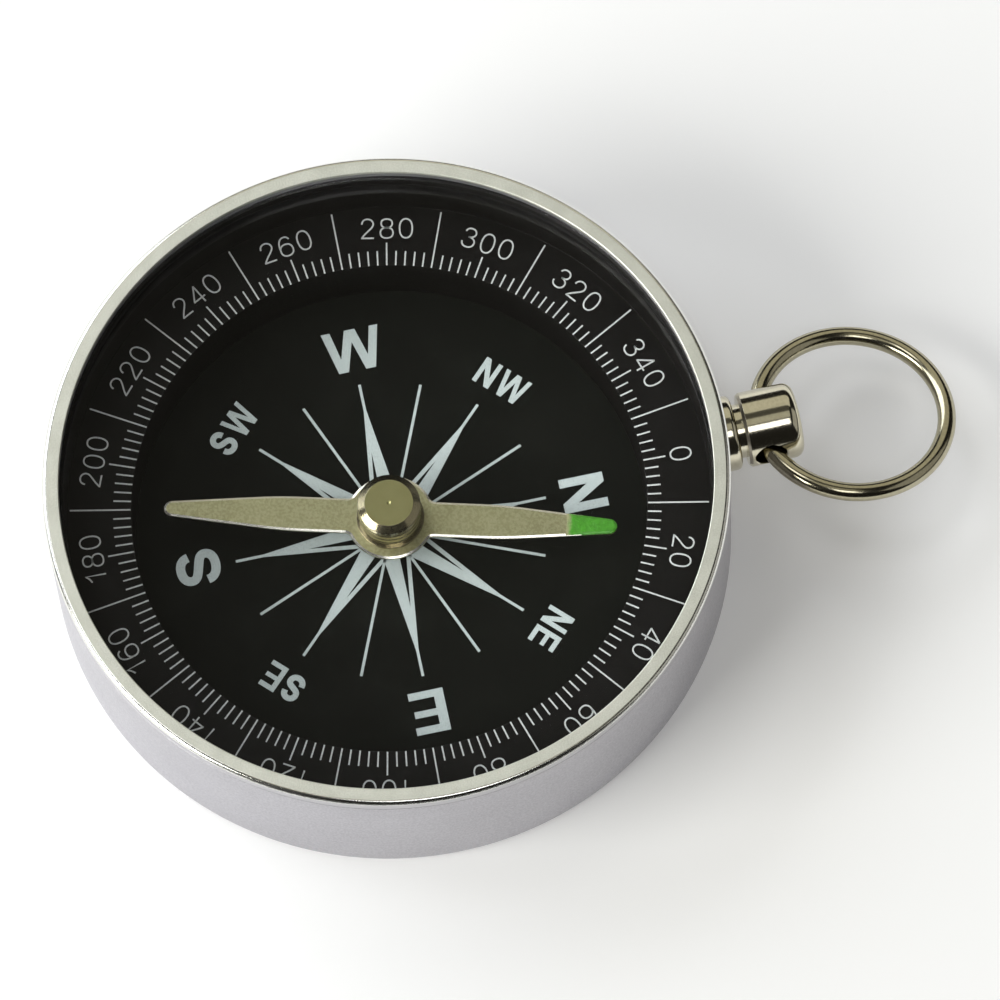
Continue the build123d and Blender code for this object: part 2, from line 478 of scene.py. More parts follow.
@dataclass(frozen=True)
class Moulding(Finish):
    """Dark moulded plastic or card with a fine dull texture and a little dust."""

    dust: Colour = (0.05, 0.05, 0.05, 1.0)
    cloud: float = 4.0
    grain: float = 0.12
    grain_depth: float = 0.002
    gloss_swing: float = 0.2
    sheen: float = 0.5

    def dress(self, graph: Graph, surface: bpy.types.Node) -> None:
        """Cloud the colour and raise the texture.

        Args:
            graph: the material's node tree.
            surface: its surface shader.
        """
        surface.inputs["Specular IOR Level"].default_value = self.sheen
        place = graph.millimetres()
        cloud = graph.step(graph.noise(place, self.cloud, CLOUD_DETAIL), *CLOUD_SPAN)
        grain = graph.noise(place, self.grain)
        self.feed(
            graph,
            surface,
            Base_Color=graph.mix(cloud, self.colour, self.dust),
            Roughness=(grain - NOISE_MIDDLE) * self.gloss_swing + self.roughness,
            Normal=graph.bump(grain * self.grain_depth),
        )


@dataclass(frozen=True)
class Ink(Finish):
    """Screen-printed ink, a little thin in places, on the ground under it."""

    thin: Colour = (0.3, 0.33, 0.35, 1.0)
    ground: str = ""
    speck: float = 0.07
    relief: float = 0.004

    @property
    def slot(self) -> str:
        """The record's material slot."""
        return self.ground

    def dress(self, graph: Graph, surface: bpy.types.Node) -> None:
        """Let the ground show through where the ink is thin.

        Args:
            graph: the material's node tree.
            surface: its surface shader.
        """
        noise = graph.noise(graph.millimetres(), self.speck, FINE_DETAIL)
        cover = graph.step(noise, *THIN_SPAN)
        colour = graph.mix(cover, self.thin, self.colour)
        self.feed(graph, surface, Base_Color=colour, Normal=graph.bump(cover * self.relief))


@dataclass(frozen=True)
class Enamel(Finish):
    """Brushed-on paint that thins out to bare metal towards the hub."""

    metal: Colour = (0.5, 0.5, 0.4, 1.0)
    metal_roughness: float = 0.35
    bearing: float = 0.0
    fade_from: float = 11.0
    fade_to: float = 12.0
    ragged: float = 0.6
    ragged_size: float = 0.5
    streak_size: float = 0.35
    streak_gain: float = 1.3
    streak_depth: float = 0.012

    def dress(self, graph: Graph, surface: bpy.types.Node) -> None:
        """Mix paint over metal along the blade.

        Args:
            graph: the material's node tree.
            surface: its surface shader.
        """
        turn = math.radians(self.bearing)
        place = graph.millimetres()
        reach = graph.along(place, (math.sin(turn), math.cos(turn), 0.0))
        noise = graph.noise(place, self.ragged_size, FINE_DETAIL)
        ragged = (noise - NOISE_MIDDLE) * self.ragged
        cover = graph.step(reach + ragged, self.fade_from, self.fade_to)
        streak = graph.step(graph.noise(place, self.streak_size, FINE_DETAIL), *STREAK_SPAN)
        light = tuple(self.streak_gain * part for part in self.colour[:3]) + (1.0,)
        paint = graph.mix(streak, self.colour, light)
        self.feed(
            graph,
            surface,
            Base_Color=graph.mix(cover, self.metal, paint),
            Metallic=1 - cover,
            Roughness=cover * (self.roughness - self.metal_roughness) + self.metal_roughness,
            Normal=graph.bump(streak * self.streak_depth),
        )


@dataclass(frozen=True)
class Clear(Finish):
    """Clear sheet or jewel that light passes through."""

    index: float = 1.49

    def dress(self, graph: Graph, surface: bpy.types.Node) -> None:
        """Let light through at the material's own index."""
        surface.inputs["Transmission Weight"].default_value = 1.0
        surface.inputs["IOR"].default_value = self.index


@dataclass(frozen=True)
class Tabletop(Finish):
    """Pale matt floor, lifted towards white where it is seen, with the shadow kept."""

    lift: float = 0.5

    def dress(self, graph: Graph, surface: bpy.types.Node) -> None:
        """Add the lift for rays that show the floor, direct, mirrored or through the lens.

        Args:
            graph: the material's node tree.
            surface: its surface shader.
        """
        path = graph.node("ShaderNodeLightPath").outputs
        seen = Wire(graph, path["Is Camera Ray"]) + Wire(graph, path["Is Glossy Ray"])
        seen = seen + Wire(graph, path["Is Transmission Ray"])
        surface.inputs["Emission Strength"].default_value = self.lift
        glow = graph.mix(graph.step(seen, 0.0, 1.0), BLACK, WHITE)
        self.feed(graph, surface, Emission_Color=glow)


def fillet_path(
    corners: Sequence[Corner], closed: bool = True, steps: int = ARC_STEPS, hug: float = 0.0
) -> list[Point]:
    """Round each corner of a path with an arc.

    Args:
        corners: x, y and radius of each corner, millimetres; a zero radius stays sharp.
        closed: whether the last corner joins the first.
        steps: divisions of each arc.
        hug: distance of support points from the ends of a long straight run.

    Returns:
        The points of the rounded path.
    """
    runs: list[list[Vector]] = []
    for index, (x, y, radius) in enumerate(corners):
        here = Vector((x, y))
        if radius <= 0:
            runs.append([here])
            continue
        before = (Vector(corners[index - 1][:2]) - here).normalized()
        after = (Vector(corners[(index + 1) % len(corners)][:2]) - here).normalized()
        half = before.angle(after) / 2
        middle = here + (before + after).normalized() * (radius / math.sin(half))
        first = here + before * (radius / math.tan(half)) - middle
        last = here + after * (radius / math.tan(half)) - middle
        start = math.atan2(first.y, first.x)
        turn = math.remainder(math.atan2(last.y, last.x) - start, math.tau)
        angles = [start + turn * part / steps for part in range(steps + 1)]
        runs.append([middle + Vector((math.cos(a), math.sin(a))) * radius for a in angles])
    points: list[Point] = []
    for index, run in enumerate(runs):
        points.extend((p.x, p.y) for p in run)
        if not hug or (index == len(runs) - 1 and not closed):
            continue
        gap = runs[(index + 1) % len(runs)][0] - run[-1]
        if gap.length > HUG_SPAN * hug:
            support = gap.normalized() * hug
            points.extend((p.x, p.y) for p in (run[-1] + support, run[-1] + gap - support))
    return points


def bezier(start: Point, *parts: Sequence[Point], steps: int = CURVE_STEPS) -> list[Point]:
    """Sample a path of straight and cubic parts.

    Args:
        start: first point.
        parts: each part's points after the one before, one for a line or three for a cubic.
        steps: divisions of each cubic.

    Returns:
        The points of the path.
    """
    path = [start]
    for part in parts:
        if len(part) == 1:
            path.append(part[0])
            continue
        poles = (path[-1], *part)
        for step in range(1, steps + 1):
            t = step / steps
            s = 1 - t
            weights = (s**3, 3 * s * s * t, 3 * s * t * t, t**3)
            x = sum(pole[0] * weight for pole, weight in zip(poles, weights))
            y = sum(pole[1] * weight for pole, weight in zip(poles, weights))
            path.append((x, y))
    return path


def oval(
    centre: Point, half_width: float, half_height: float, steps: int = 40, power: float = 0.88
) -> list[Point]:
    """A closed, slightly squared oval.

    Args:
        centre: its middle.
        half_width: half of its width.
        half_height: half of its height.
        steps: points round it.
        power: how square it is, 1 for an ellipse and less for a squarer form.

    Returns:
        Its points, with the first one repeated at the end.
    """
    points = []
    for step in range(steps):
        c, s = math.cos(math.tau * step / steps), math.sin(math.tau * step / steps)
        x = math.copysign(abs(c) ** power, c)
        y = math.copysign(abs(s) ** power, s)
        points.append((centre[0] + half_width * x, centre[1] + half_height * y))
    return points + points[:1]


def divided(path: Sequence[Point], longest: float) -> list[Point]:
    """Add points along a path's long runs.

    Args:
        path: the path's points.
        longest: greatest distance left between two points.

    Returns:
        The path with the added points.
    """
    points = [path[0]]
    for (x, y), (end_x, end_y) in zip(path, path[1:]):
        parts = max(1, math.ceil(math.dist((x, y), (end_x, end_y)) / longest))
        for part in range(1, parts + 1):
            share = part / parts
            points.append((x + (end_x - x) * share, y + (end_y - y) * share))
    return points


def inset(outline: Sequence[Point], depth: float) -> list[Point]:
    """Move a closed outline inwards.

    Args:
        outline: points of the outline, anticlockwise.
        depth: distance to move.

    Returns:
        The moved points.
    """
    moved = []
    for index, point in enumerate(outline):
        here = Vector(point)
        before = (here - Vector(outline[index - 1])).normalized()
        after = (Vector(outline[(index + 1) % len(outline)]) - here).normalized()
        inward = Vector((-before.y - after.y, before.x + after.x)).normalized()
        spot = here + inward * depth
        moved.append((spot.x, spot.y))
    return moved


def shaded(
    shell: bmesh.types.BMesh, name: str, crease: float = SMOOTH_CREASE
) -> bpy.types.Mesh:
    """Turn a working mesh into a finished one.

    Args:
        shell: the working mesh, which is freed.
        name: the mesh's name.
        crease: angle in degrees over which an edge stays sharp.

    Returns:
        The finished mesh, shaded smooth between sharp edges.
    """
    mesh = bpy.data.meshes.new(name)
    shell.to_mesh(mesh)
    shell.free()
    mesh.shade_smooth()
    mesh.set_sharp_from_angle(angle=math.radians(crease))
    return mesh


def lathe(
    name: str, profile: Sequence[Point], segments: int = ROUND_SEGMENTS
) -> bpy.types.Mesh:
    """Turn a profile about the upright axis.

    Args:
        name: the mesh's name.
        profile: radius and height of each point; it closes on itself or ends on the axis.
        segments: divisions round the axis.

    Returns:
        The turned mesh.
    """
    shell = bmesh.new()
    rings = []
    for radius, height in profile:
        if radius < AXIS_TOLERANCE:
            rings.append([shell.verts.new((0, 0, height * MM))] * segments)
            continue
        ring = []
        for step in range(segments):
            turn = math.tau * step / segments
            spot = (radius * MM * math.sin(turn), radius * MM * math.cos(turn), height * MM)
            ring.append(shell.verts.new(spot))
        rings.append(ring)
    for low, high in zip(rings, rings[1:] + rings[:1]):
        for step in range(segments):
            loop = (low[step], low[step - 1], high[step - 1], high[step])
            corners = list(dict.fromkeys(loop))
            if len(corners) > 2:
                shell.faces.new(corners)
    bmesh.ops.recalc_face_normals(shell, faces=shell.faces)
    return shaded(shell, name)


def plate(
    name: str, outline: Sequence[Point], low: float, high: float, edge: float, bevel: Point
) -> bpy.types.Mesh:
    """A flat stamped plate, rounded under its edges and rolled down a little along the top.

    Args:
        name: the mesh's name.
        outline: points of its outline, anticlockwise, millimetres.
        low: height of its underside.
        high: height of its top.
        edge: radius of its lower edges.
        bevel: width and drop of the rolled edge on top.

    Returns:
        The plate's mesh.
    """
    contour = []
    for step in range(EDGE_STEPS + 1):
        turn = math.radians(QUARTER_TURN * step / EDGE_STEPS)
        contour.append((edge * (1 - math.sin(turn)), low + edge * (1 - math.cos(turn))))
    contour += [(0.0, high - bevel[1]), (bevel[0], high)]
    shell = bmesh.new()
    rings = []
    for depth, height in contour:
        spots = [(x * MM, y * MM, height * MM) for x, y in inset(outline, depth)]
        rings.append([shell.verts.new(spot) for spot in spots])
    for under, over in zip(rings, rings[1:]):
        for step in range(len(outline)):
            shell.faces.new((under[step - 1], under[step], over[step], over[step - 1]))
    shell.faces.new(reversed(rings[0]))
    shell.faces.new(rings[-1])
    return shaded(shell, name, PLATE_CREASE)


def drilled(name: str, mesh: bpy.types.Mesh, drill: bpy.types.Mesh) -> bpy.types.Mesh:
    """Cut one closed mesh out of another.

    Args:
        name: name of the finished mesh.
        mesh: the mesh that is cut.
        drill: the mesh that is taken away.

    Returns:
        The cut mesh, shaded smooth between sharp edges.
    """
    work = bpy.data.objects.new(name, mesh)
    tool = bpy.data.objects.new(f"{name}_drill", drill)
    for part in (work, tool):
        bpy.context.scene.collection.objects.link(part)
    cut = work.modifiers.new("drill", "BOOLEAN")
    cut.operation = "DIFFERENCE"
    cut.solver = "EXACT"
    cut.object = tool
    evaluated = work.evaluated_get(bpy.context.evaluated_depsgraph_get())
    made = bpy.data.meshes.new_from_object(evaluated)
    for part in (work, tool):
        bpy.data.objects.remove(part)
    shell = bmesh.new()
    shell.from_mesh(made)
    return shaded(shell, name, DRILL_CREASE)


class Print:
    """Collects flat printed shapes into one thin mesh."""

    def __init__(self, low: float, high: float) -> None:
        """Set the heights of the ink's underside and top, millimetres."""
        self.low = low
        self.high = high
        self.shell = bmesh.new()

    def _corner(
        self, point: Point, place: Matrix
    ) -> tuple[bmesh.types.BMVert, bmesh.types.BMVert]:
        """Add a point's two vertices.

        Args:
            point: the point, millimetres.
            place: where its shape goes on the dial.

        Returns:
            The lower and the upper vertex.
        """
        x, y = (place @ Vector((*point, 0.0))).xy
        low = self.shell.verts.new((x * MM, y * MM, self.low * MM))
        high = self.shell.verts.new((x * MM, y * MM, self.high * MM))
        return low, high

    def fill(self, outline: Sequence[Point], place: Matrix) -> None:
        """Add a filled shape.

        Args:
            outline: its points, millimetres.
            place: where it goes on the dial.
        """
        pairs = [self._corner(point, place) for point in outline]
        for (low, high), (next_low, next_high) in zip(pairs, pairs[1:] + pairs[:1]):
            self.shell.faces.new((low, next_low, next_high, high))
        self.shell.faces.new([low for low, _ in pairs])
        self.shell.faces.new([high for _, high in pairs])

    def stroke(self, path: Sequence[Point], width: float, place: Matrix) -> None:
        """Add a line of even width.

        Args:
            path: its middle line, millimetres, closed where it ends on its first point.
            width: its width.
            place: where it goes on the dial.
        """
        closed = path[0] == path[-1]
        if closed:
            path = path[:-1]
        count = len(path)
        quads = []
        for index, point in enumerate(path):
            here = Vector(point)
            run = Vector((0.0, 0.0))
            if closed or index > 0:
                run += (here - Vector(path[index - 1])).normalized()
            if closed or index < count - 1:
                run += (Vector(path[(index + 1) % count]) - here).normalized()
            side = Vector((-run.y, run.x)).normalized() * (width / 2)
            left = self._corner((here.x + side.x, here.y + side.y), place)
            right = self._corner((here.x - side.x, here.y - side.y), place)
            quads.append((left[0], right[0], right[1], left[1]))
        for first, second in zip(quads, quads[1:] + (quads[:1] if closed else [])):
            for corner in range(len(first)):
                loop = (first[corner - 1], first[corner], second[corner], second[corner - 1])
                self.shell.faces.new(loop)
        if not closed:
            self.shell.faces.new(quads[0])
            self.shell.faces.new(quads[-1])

    def mesh(self, name: str) -> bpy.types.Mesh:
        """Finish the print.

        Args:
            name: the mesh's name.

        Returns:
            The mesh of all the shapes so far.
        """
        bmesh.ops.recalc_face_normals(self.shell, faces=self.shell.faces)
        mesh = bpy.data.meshes.new(name)
        self.shell.to_mesh(mesh)
        self.shell.free()
        return mesh


def on_dial(bearing: float, radius: float, along: float = 0.0) -> Matrix:
    """Place of a mark on the dial.

    Args:
        bearing: degrees clockwise from the stem.
        radius: distance from the axis, millimetres.
        along: shift clockwise, millimetres.

    Returns:
        The matrix that puts the mark's middle there, with its top outwards.
    """
    turn = Matrix.Rotation(-math.radians(bearing), 4, "Z")
    return turn @ Matrix.Translation((along, radius, 0.0))


def levels(node: str) -> tuple[float, float, float]:
    """Outer radius, lowest and highest level of a round CAD node, millimetres."""
    low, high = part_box(node)
    return high.x / MM, low.z / MM, high.z / MM


def add_piece(
    name: str, mesh: bpy.types.Mesh, finish: Finish, body: Body, *nodes: str
) -> bpy.types.Object:
    """Make a finished piece of the object.

    Args:
        name: the piece's name.
        mesh: its mesh, in place.
        finish: its surface.
        body: the body that it rides on.
        nodes: CAD nodes that it stands for.

    Returns:
        The new object.
    """
    made = bpy.data.objects.new(name, mesh)
    bpy.context.scene.collection.objects.link(made)
    mesh.materials.clear()
    mesh.materials.append(finish.material())
    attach(made, body.value)
    if nodes:
        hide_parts(*nodes)
    LOG.info("%s: %d faces, rides on %s", name, len(mesh.polygons), body.value)
    return made


def add_turned(
    name: str,
    corners: Sequence[Corner],
    finish: Finish,
    body: Body,
    node: str,
    hug: float = 0.0,
    steps: int = ARC_STEPS,
    segments: int = ROUND_SEGMENTS,
) -> bpy.types.Object:
    """Make a piece that is turned about the upright axis.

    Args:
        name: the piece's name.
        corners: radius, height and rounding of each corner of its profile.
        finish: its surface.
        body: the body that it rides on.
        node: the CAD node that it stands for.
        hug: distance of support points from the ends of a long straight run.
        steps: divisions of each rounding.
        segments: divisions round the axis.

    Returns:
        The new object.
    """
    mesh = lathe(name, fillet_path(corners, steps=steps, hug=hug), segments)
    return add_piece(name, mesh, finish, body, node)


def dress_node(node: str, finish: Finish) -> None:
    """Give a CAD node that stays its surface.

    Args:
        node: the node's name.
        finish: its surface.
    """
    solid = frame["nodes"][node]
    solid.data.materials.clear()
    solid.data.materials.append(finish.material())
    LOG.info("%s: dressed as it is", node)


@dataclass(frozen=True)
class MarkRing:
    """Marks repeated round the dial's axis by Geometry Nodes.

    Lengths are factors on the mark's own length: every cycle starts with a medium mark and has a
    long one half-way, and the rest are short. The print's shift moves every mark sideways, and all
    but the long ones reach as far as it takes their outer ends.
    """

    count: int
    bearing: float
    radius: float = 0.0
    short: float = 1.0
    medium: float = 1.0
    long: float = 1.0
    shift: Point = (0.0, 0.0)
    cycle: int = 10

    def build(self, name: str, mark: bpy.types.Mesh, finish: Finish) -> bpy.types.Mesh:
        """Repeat a mark round the axis.

        Args:
            name: name of the finished mesh.
            mark: the mark's mesh, its inner end at the origin, pointing along +Y.
            finish: the marks' surface.

        Returns:
            A plain mesh of all the marks.
        """
        tree, inputs = self._tree(name, finish)
        holder = bpy.data.objects.new(name, mark)
        bpy.context.scene.collection.objects.link(holder)
        modifier = holder.modifiers.new(name, "NODES")
        modifier.node_group = tree
        for identifier, value in inputs.items():
            modifier[identifier] = value
        evaluated = holder.evaluated_get(bpy.context.evaluated_depsgraph_get())
        mesh = bpy.data.meshes.new_from_object(evaluated)
        bpy.data.objects.remove(holder)
        mesh.name = name
        return mesh

    def _sizes(self) -> dict[str, float | int]:
        """Name and value of each of the tree's inputs, lengths in metres."""
        return {
            "Count": self.count,
            "Bearing": math.radians(self.bearing),
            "Radius": self.radius * MM,
            "Short": self.short,
            "Medium": self.medium,
            "Long": self.long,
            "Shift X": self.shift[0],
            "Shift Y": self.shift[1],
            "Cycle": self.cycle,
        }

    def _tree(self, name: str, finish: Finish) -> tuple[bpy.types.NodeTree, dict[str, Any]]:
        """Make the node tree.

        Args:
            name: the tree's name.
            finish: the marks' surface.

        Returns:
            The tree, and the values of its inputs by socket identifier.
        """
        tree = bpy.data.node_groups.new(name, "GeometryNodeTree")
        graph = Graph(tree)
        face = tree.interface
        face.new_socket("Geometry", in_out="OUTPUT", socket_type="NodeSocketGeometry")
        face.new_socket("Mark", in_out="INPUT", socket_type="NodeSocketGeometry")
        inputs = {}
        for label, value in self._sizes().items():
            kind = "NodeSocketInt" if isinstance(value, int) else "NodeSocketFloat"
            socket = face.new_socket(label, in_out="INPUT", socket_type=kind)
            inputs[socket.identifier] = value
        given = graph.node("NodeGroupInput").outputs
        size = {label: Wire(graph, given[label]) for label in ("Mark", *self._sizes())}
        index = graph.add("GeometryNodeInputIndex")
        turn = index * math.tau / size["Count"] + size["Bearing"]
        sine, cosine = graph.circle(turn)
        shift = sine * size["Shift X"] + cosine * size["Shift Y"]
        drift = cosine * size["Shift X"] - sine * size["Shift Y"]
        turn = turn + drift * MM / size["Radius"]
        sine, cosine = graph.circle(turn)
        spot = {"X": sine * size["Radius"], "Y": cosine * size["Radius"]}
        phase = graph.math("MODULO", index, size["Cycle"])
        at_start = graph.math("COMPARE", phase, 0.0, PHASE_TOLERANCE)
        at_half = graph.math("COMPARE", phase, size["Cycle"] * 0.5, PHASE_TOLERANCE)
        length = size["Short"] + at_start * (size["Medium"] - size["Short"]) + shift
        length = length + at_half * (size["Long"] - length)
        spots = {
            "Count": size["Count"],
            "Position": graph.add("ShaderNodeCombineXYZ", sockets=spot),
        }
        euler = graph.add("ShaderNodeCombineXYZ", sockets={"Z": 0.0 - turn})
        stretch = {"X": 1.0, "Y": length, "Z": 1.0}
        marks = {
            "Points": graph.add("GeometryNodePoints", sockets=spots),
            "Instance": size["Mark"],
            "Rotation": graph.add("FunctionNodeEulerToRotation", sockets={0: euler}),
            "Scale": graph.add("ShaderNodeCombineXYZ", sockets=stretch),
        }
        placed = graph.add("GeometryNodeInstanceOnPoints", sockets=marks)
        real = graph.add("GeometryNodeRealizeInstances", sockets={"Geometry": placed})
        sockets = {"Geometry": real, "Material": finish.material()}
        dressed = graph.add("GeometryNodeSetMaterial", sockets=sockets)
        graph.node("NodeGroupOutput", sockets={"Geometry": dressed})
        return tree, inputs


SATIN_ALUMINIUM = Metal(
    "satin_aluminium", (0.52, 0.51, 0.54, 1.0), 0.36, stain=(0.42, 0.41, 0.44, 1.0), patch=6.0,
    grain=0.15, grain_depth=0.006, gloss_swing=0.15, fleck=0.7, turning=Turning.SIDE,
    line_pitch=0.25, line_depth=0.0015,
)
# The bezel's darker skirt colour below skirt_top is painted shade along the seam.
POLISHED_RIM = RimMetal(
    "polished_rim", (0.89, 0.90, 0.82, 1.0), 0.5, stain=(0.73, 0.74, 0.66, 1.0), patch=2.0,
    grain=0.1, grain_depth=0.005, gloss_swing=0.12, turning=Turning.FACE, line_pitch=0.2,
    line_depth=0.002, face_radius=22.22, side_colour=(0.84, 0.84, 0.80, 1.0),
    side_roughness=0.15, border=0.06, skirt_top=11.78, skirt_colour=(0.52, 0.51, 0.53, 1.0),
)
CLEAR_ACRYLIC = Clear("clear_acrylic", WHITE, 0.0)
BLACK_MOULDING = Moulding(
    "black_moulding", (0.003, 0.0027, 0.0025, 1.0), 0.45, dust=(0.005, 0.0046, 0.0046, 1.0),
    sheen=0.1,
)
BLACK_CARD = Moulding(
    "black_card", (0.0032, 0.0038, 0.0028, 1.0), 0.65, dust=(0.006, 0.0068, 0.0054, 1.0),
    sheen=0.06,
)
SCALE_INK = Ink(
    "scale_ink", (0.53, 0.555, 0.555, 1.0), 0.55, thin=(0.31, 0.325, 0.325, 1.0),
    ground=BLACK_MOULDING.slot,
)
ROSE_INK = Ink(
    "rose_ink", (0.495, 0.57, 0.57, 1.0), 0.55, thin=(0.355, 0.41, 0.42, 1.0),
    ground=BLACK_CARD.slot,
)
BUSH_BRASS = Metal(
    "bush_brass", (0.75, 0.56, 0.25, 1.0), 0.3, stain=(0.6, 0.42, 0.18, 1.0),
    turning=Turning.FACE, line_depth=0.001,
)
PIN_STEEL = Metal("pin_steel", (0.58, 0.57, 0.55, 1.0), 0.18, stain=(0.5, 0.49, 0.47, 1.0))
NEEDLE_NICKEL = Metal(
    "needle_nickel", (0.495, 0.485, 0.29, 1.0), 0.36, stain=(0.355, 0.345, 0.19, 1.0), patch=2.5,
    grain=0.17, grain_depth=0.004, gloss_swing=0.12, fleck=0.75,
)
# The cap's darker side_colour on its bevel and side is painted shade; their lower roughness is a
# real polish.
CAP_NICKEL = TurnedMetal(
    "cap_nickel", (0.43, 0.41, 0.2, 1.0), 0.3, stain=(0.36, 0.35, 0.155, 1.0), patch=1.5,
    grain=0.06, grain_depth=0.0003, gloss_swing=0.05, turning=Turning.FACE, line_pitch=0.09,
    line_depth=0.0001, face_radius=1.62, side_colour=(0.38, 0.34, 0.22, 1.0),
    side_roughness=0.17,
)
# Pale colour of the blade's bare rolled edges: a painted highlight; their low roughness is a real
# polish.
NEEDLE_EDGE_HIGHLIGHT = Metal(
    "needle_edge_highlight", (0.88, 0.87, 0.80, 1.0), 0.2, stain=(0.78, 0.76, 0.68, 1.0), patch=1.0,
    grain=0.08, grain_depth=0.001, gloss_swing=0.05,
)
JEWEL = Clear("jewel", (0.75, 0.12, 0.18, 1.0), 0.02, index=1.76)
STEM_NICKEL = Metal(
    "stem_nickel", (0.72, 0.68, 0.54, 1.0), 0.13, stain=(0.64, 0.60, 0.46, 1.0), grain=0.2,
    grain_depth=0.001, gloss_swing=0.06,
)
BOW_NICKEL = Metal(
    "bow_nickel", (0.50, 0.465, 0.34, 1.0), 0.16, stain=(0.42, 0.385, 0.27, 1.0), grain=0.2,
    grain_depth=0.001, gloss_swing=0.06,
)
PALE_FLOOR = Tabletop("pale_floor", (0.86, 0.86, 0.87, 1.0), 0.9, lift=0.17)


@dataclass
class CaseShell:
    """The cup, the bezel and the lens. Sizes in millimetres."""

    floor: float = 0.8
    bore: float = 21.85
    rabbet: float = 22.15
    base_edge: float = 0.6
    gap_height: float = 0.06
    gap_depth: float = 0.15
    under_edge: float = 0.02
    lip: float = 1.1
    lip_bottom: float = 0.7
    rim_run: float = 0.17
    rim_drop: float = 0.22
    rim_edge: float = 0.06
    rim_roll: float = 0.3
    lip_edge: float = 0.06
    fine_edge: float = 0.03
    lens_edge: float = 0.12
    lens_gap: float = 0.015

    def build(self) -> None:
        """Make the three pieces."""
        self._cup()
        self._bezel()
        self._lens()

    def _cup(self) -> None:
        """The cup: floor, wall and the step for the bezel."""
        radius, low, high = levels("case_body")
        skirt = levels("bezel_ring")[1]
        corners = [
            (0.0, low, 0.0),
            (radius, low, self.base_edge),
            (radius, high, self.under_edge),
            (self.rabbet, high, 0.0),
            (self.rabbet, skirt, 0.0),
            (self.bore, skirt, 0.0),
            (self.bore, self.floor, 0.0),
            (0.0, self.floor, 0.0),
        ]
        add_turned("cup", corners, SATIN_ALUMINIUM, Body.CASE, "case_body", self.fine_edge)

    def _bezel(self) -> None:
        """The bezel: a rim with a rolled edge, a lip over the lens and a fine seam below."""
        radius, low, high = levels("bezel_ring")
        seam = levels("case_body")[2]
        corners = [
            (radius - self.lip, high - self.lip_bottom, self.fine_edge),
            (self.bore, high - self.lip_bottom, 0.0),
            (self.bore, low, 0.0),
            (self.rabbet, low, 0.0),
            (self.rabbet, seam, 0.0),
            (radius - self.gap_depth, seam, 0.0),
            (radius - self.gap_depth, seam + self.gap_height, 0.0),
            (radius, seam + self.gap_height, self.under_edge),
            (radius, high - self.rim_drop, self.rim_edge),
            (radius - self.rim_run, high, self.rim_roll),
            (radius - self.lip, high, self.lip_edge),
        ]
        add_turned(
            "bezel", corners, POLISHED_RIM, Body.CASE, "bezel_ring", self.fine_edge, FINE_ARC_STEPS
        )

    def _lens(self) -> None:
        """The lens: a flat clear disc, a hair inside its seat."""
        radius, low, high = levels("lens")
        corners = [
            (0.0, low, 0.0),
            (radius - self.lens_gap, low, self.lens_edge),
            (radius - self.lens_gap, high - self.lens_gap, self.lens_edge),
            (0.0, high - self.lens_gap, 0.0),
        ]
        disc = add_turned("lens_disc", corners, CLEAR_ACRYLIC, Body.CASE, "lens", self.fine_edge)
        disc.visible_shadow = False


DIGITS: dict[str, tuple[list[Point], ...]] = {
    "0": (oval((0.31, 0.5), 0.31, 0.5),),
    "1": (bezier((0.0, 0.72), ((0.14, 0.78), (0.26, 0.88), (0.33, 1.0)), ((0.33, 0.0),)),),
    "2": (
        bezier(
            (0.03, 0.72),
            ((0.04, 0.90), (0.15, 1.0), (0.31, 1.0)),
            ((0.48, 1.0), (0.59, 0.88), (0.59, 0.73)),
            ((0.59, 0.52), (0.24, 0.34), (0.03, 0.0)),
        ),
        bezier((0.0, 0.0), ((0.62, 0.0),)),
    ),
    "3": (
        bezier(
            (0.04, 0.79),
            ((0.06, 0.92), (0.17, 1.0), (0.30, 1.0)),
            ((0.46, 1.0), (0.56, 0.90), (0.56, 0.77)),
            ((0.56, 0.62), (0.44, 0.54), (0.24, 0.54)),
        ),
        bezier(
            (0.24, 0.54),
            ((0.47, 0.54), (0.61, 0.44), (0.61, 0.28)),
            ((0.61, 0.11), (0.48, 0.0), (0.30, 0.0)),
            ((0.13, 0.0), (0.02, 0.09), (0.0, 0.25)),
        ),
    ),
    "4": (
        bezier((0.47, 0.0), ((0.47, 1.0),)),
        bezier((0.47, 1.0), ((0.0, 0.28),)),
        bezier((-0.02, 0.28), ((0.65, 0.28),)),
    ),
    "6": (
        bezier(
            (0.57, 0.83),
            ((0.54, 0.94), (0.45, 1.0), (0.34, 1.0)),
            ((0.12, 1.0), (0.0, 0.78), (0.0, 0.42)),
        ),
        oval((0.31, 0.31), 0.31, 0.31),
    ),
    "8": (oval((0.31, 0.77), 0.27, 0.23), oval((0.31, 0.275), 0.31, 0.275)),
}
DIGIT_WIDTH = 0.62

LETTERS: dict[str, tuple[float, list[Point]]] = {
    "N": (
        0.82,
        [
            (0.0, 0.0), (0.25, 0.0), (0.25, 0.61), (0.72, 0.0), (1.0, 0.0),
            (1.0, 1.0), (0.75, 1.0), (0.75, 0.35), (0.28, 1.0), (0.0, 1.0),
        ],
    ),
    "E": (
        0.79,
        [
            (0.0, 0.0), (1.0, 0.0), (1.0, 0.172), (0.28, 0.172), (0.28, 0.448), (0.92, 0.448),
            (0.92, 0.605), (0.28, 0.605), (0.28, 0.825), (0.97, 0.825), (0.97, 1.0), (0.0, 1.0),
        ],
    ),
    "W": (
        1.3,
        [
            (0.0, 1.0), (0.155, 1.0), (0.262, 0.33), (0.41, 1.0), (0.595, 1.0), (0.735, 0.33),
            (0.85, 1.0), (1.0, 1.0), (0.825, 0.0), (0.652, 0.0), (0.502, 0.70), (0.348, 0.0),
            (0.175, 0.0),
        ],
    ),
}
S_WIDTH = 0.82
S_STROKE = 0.205
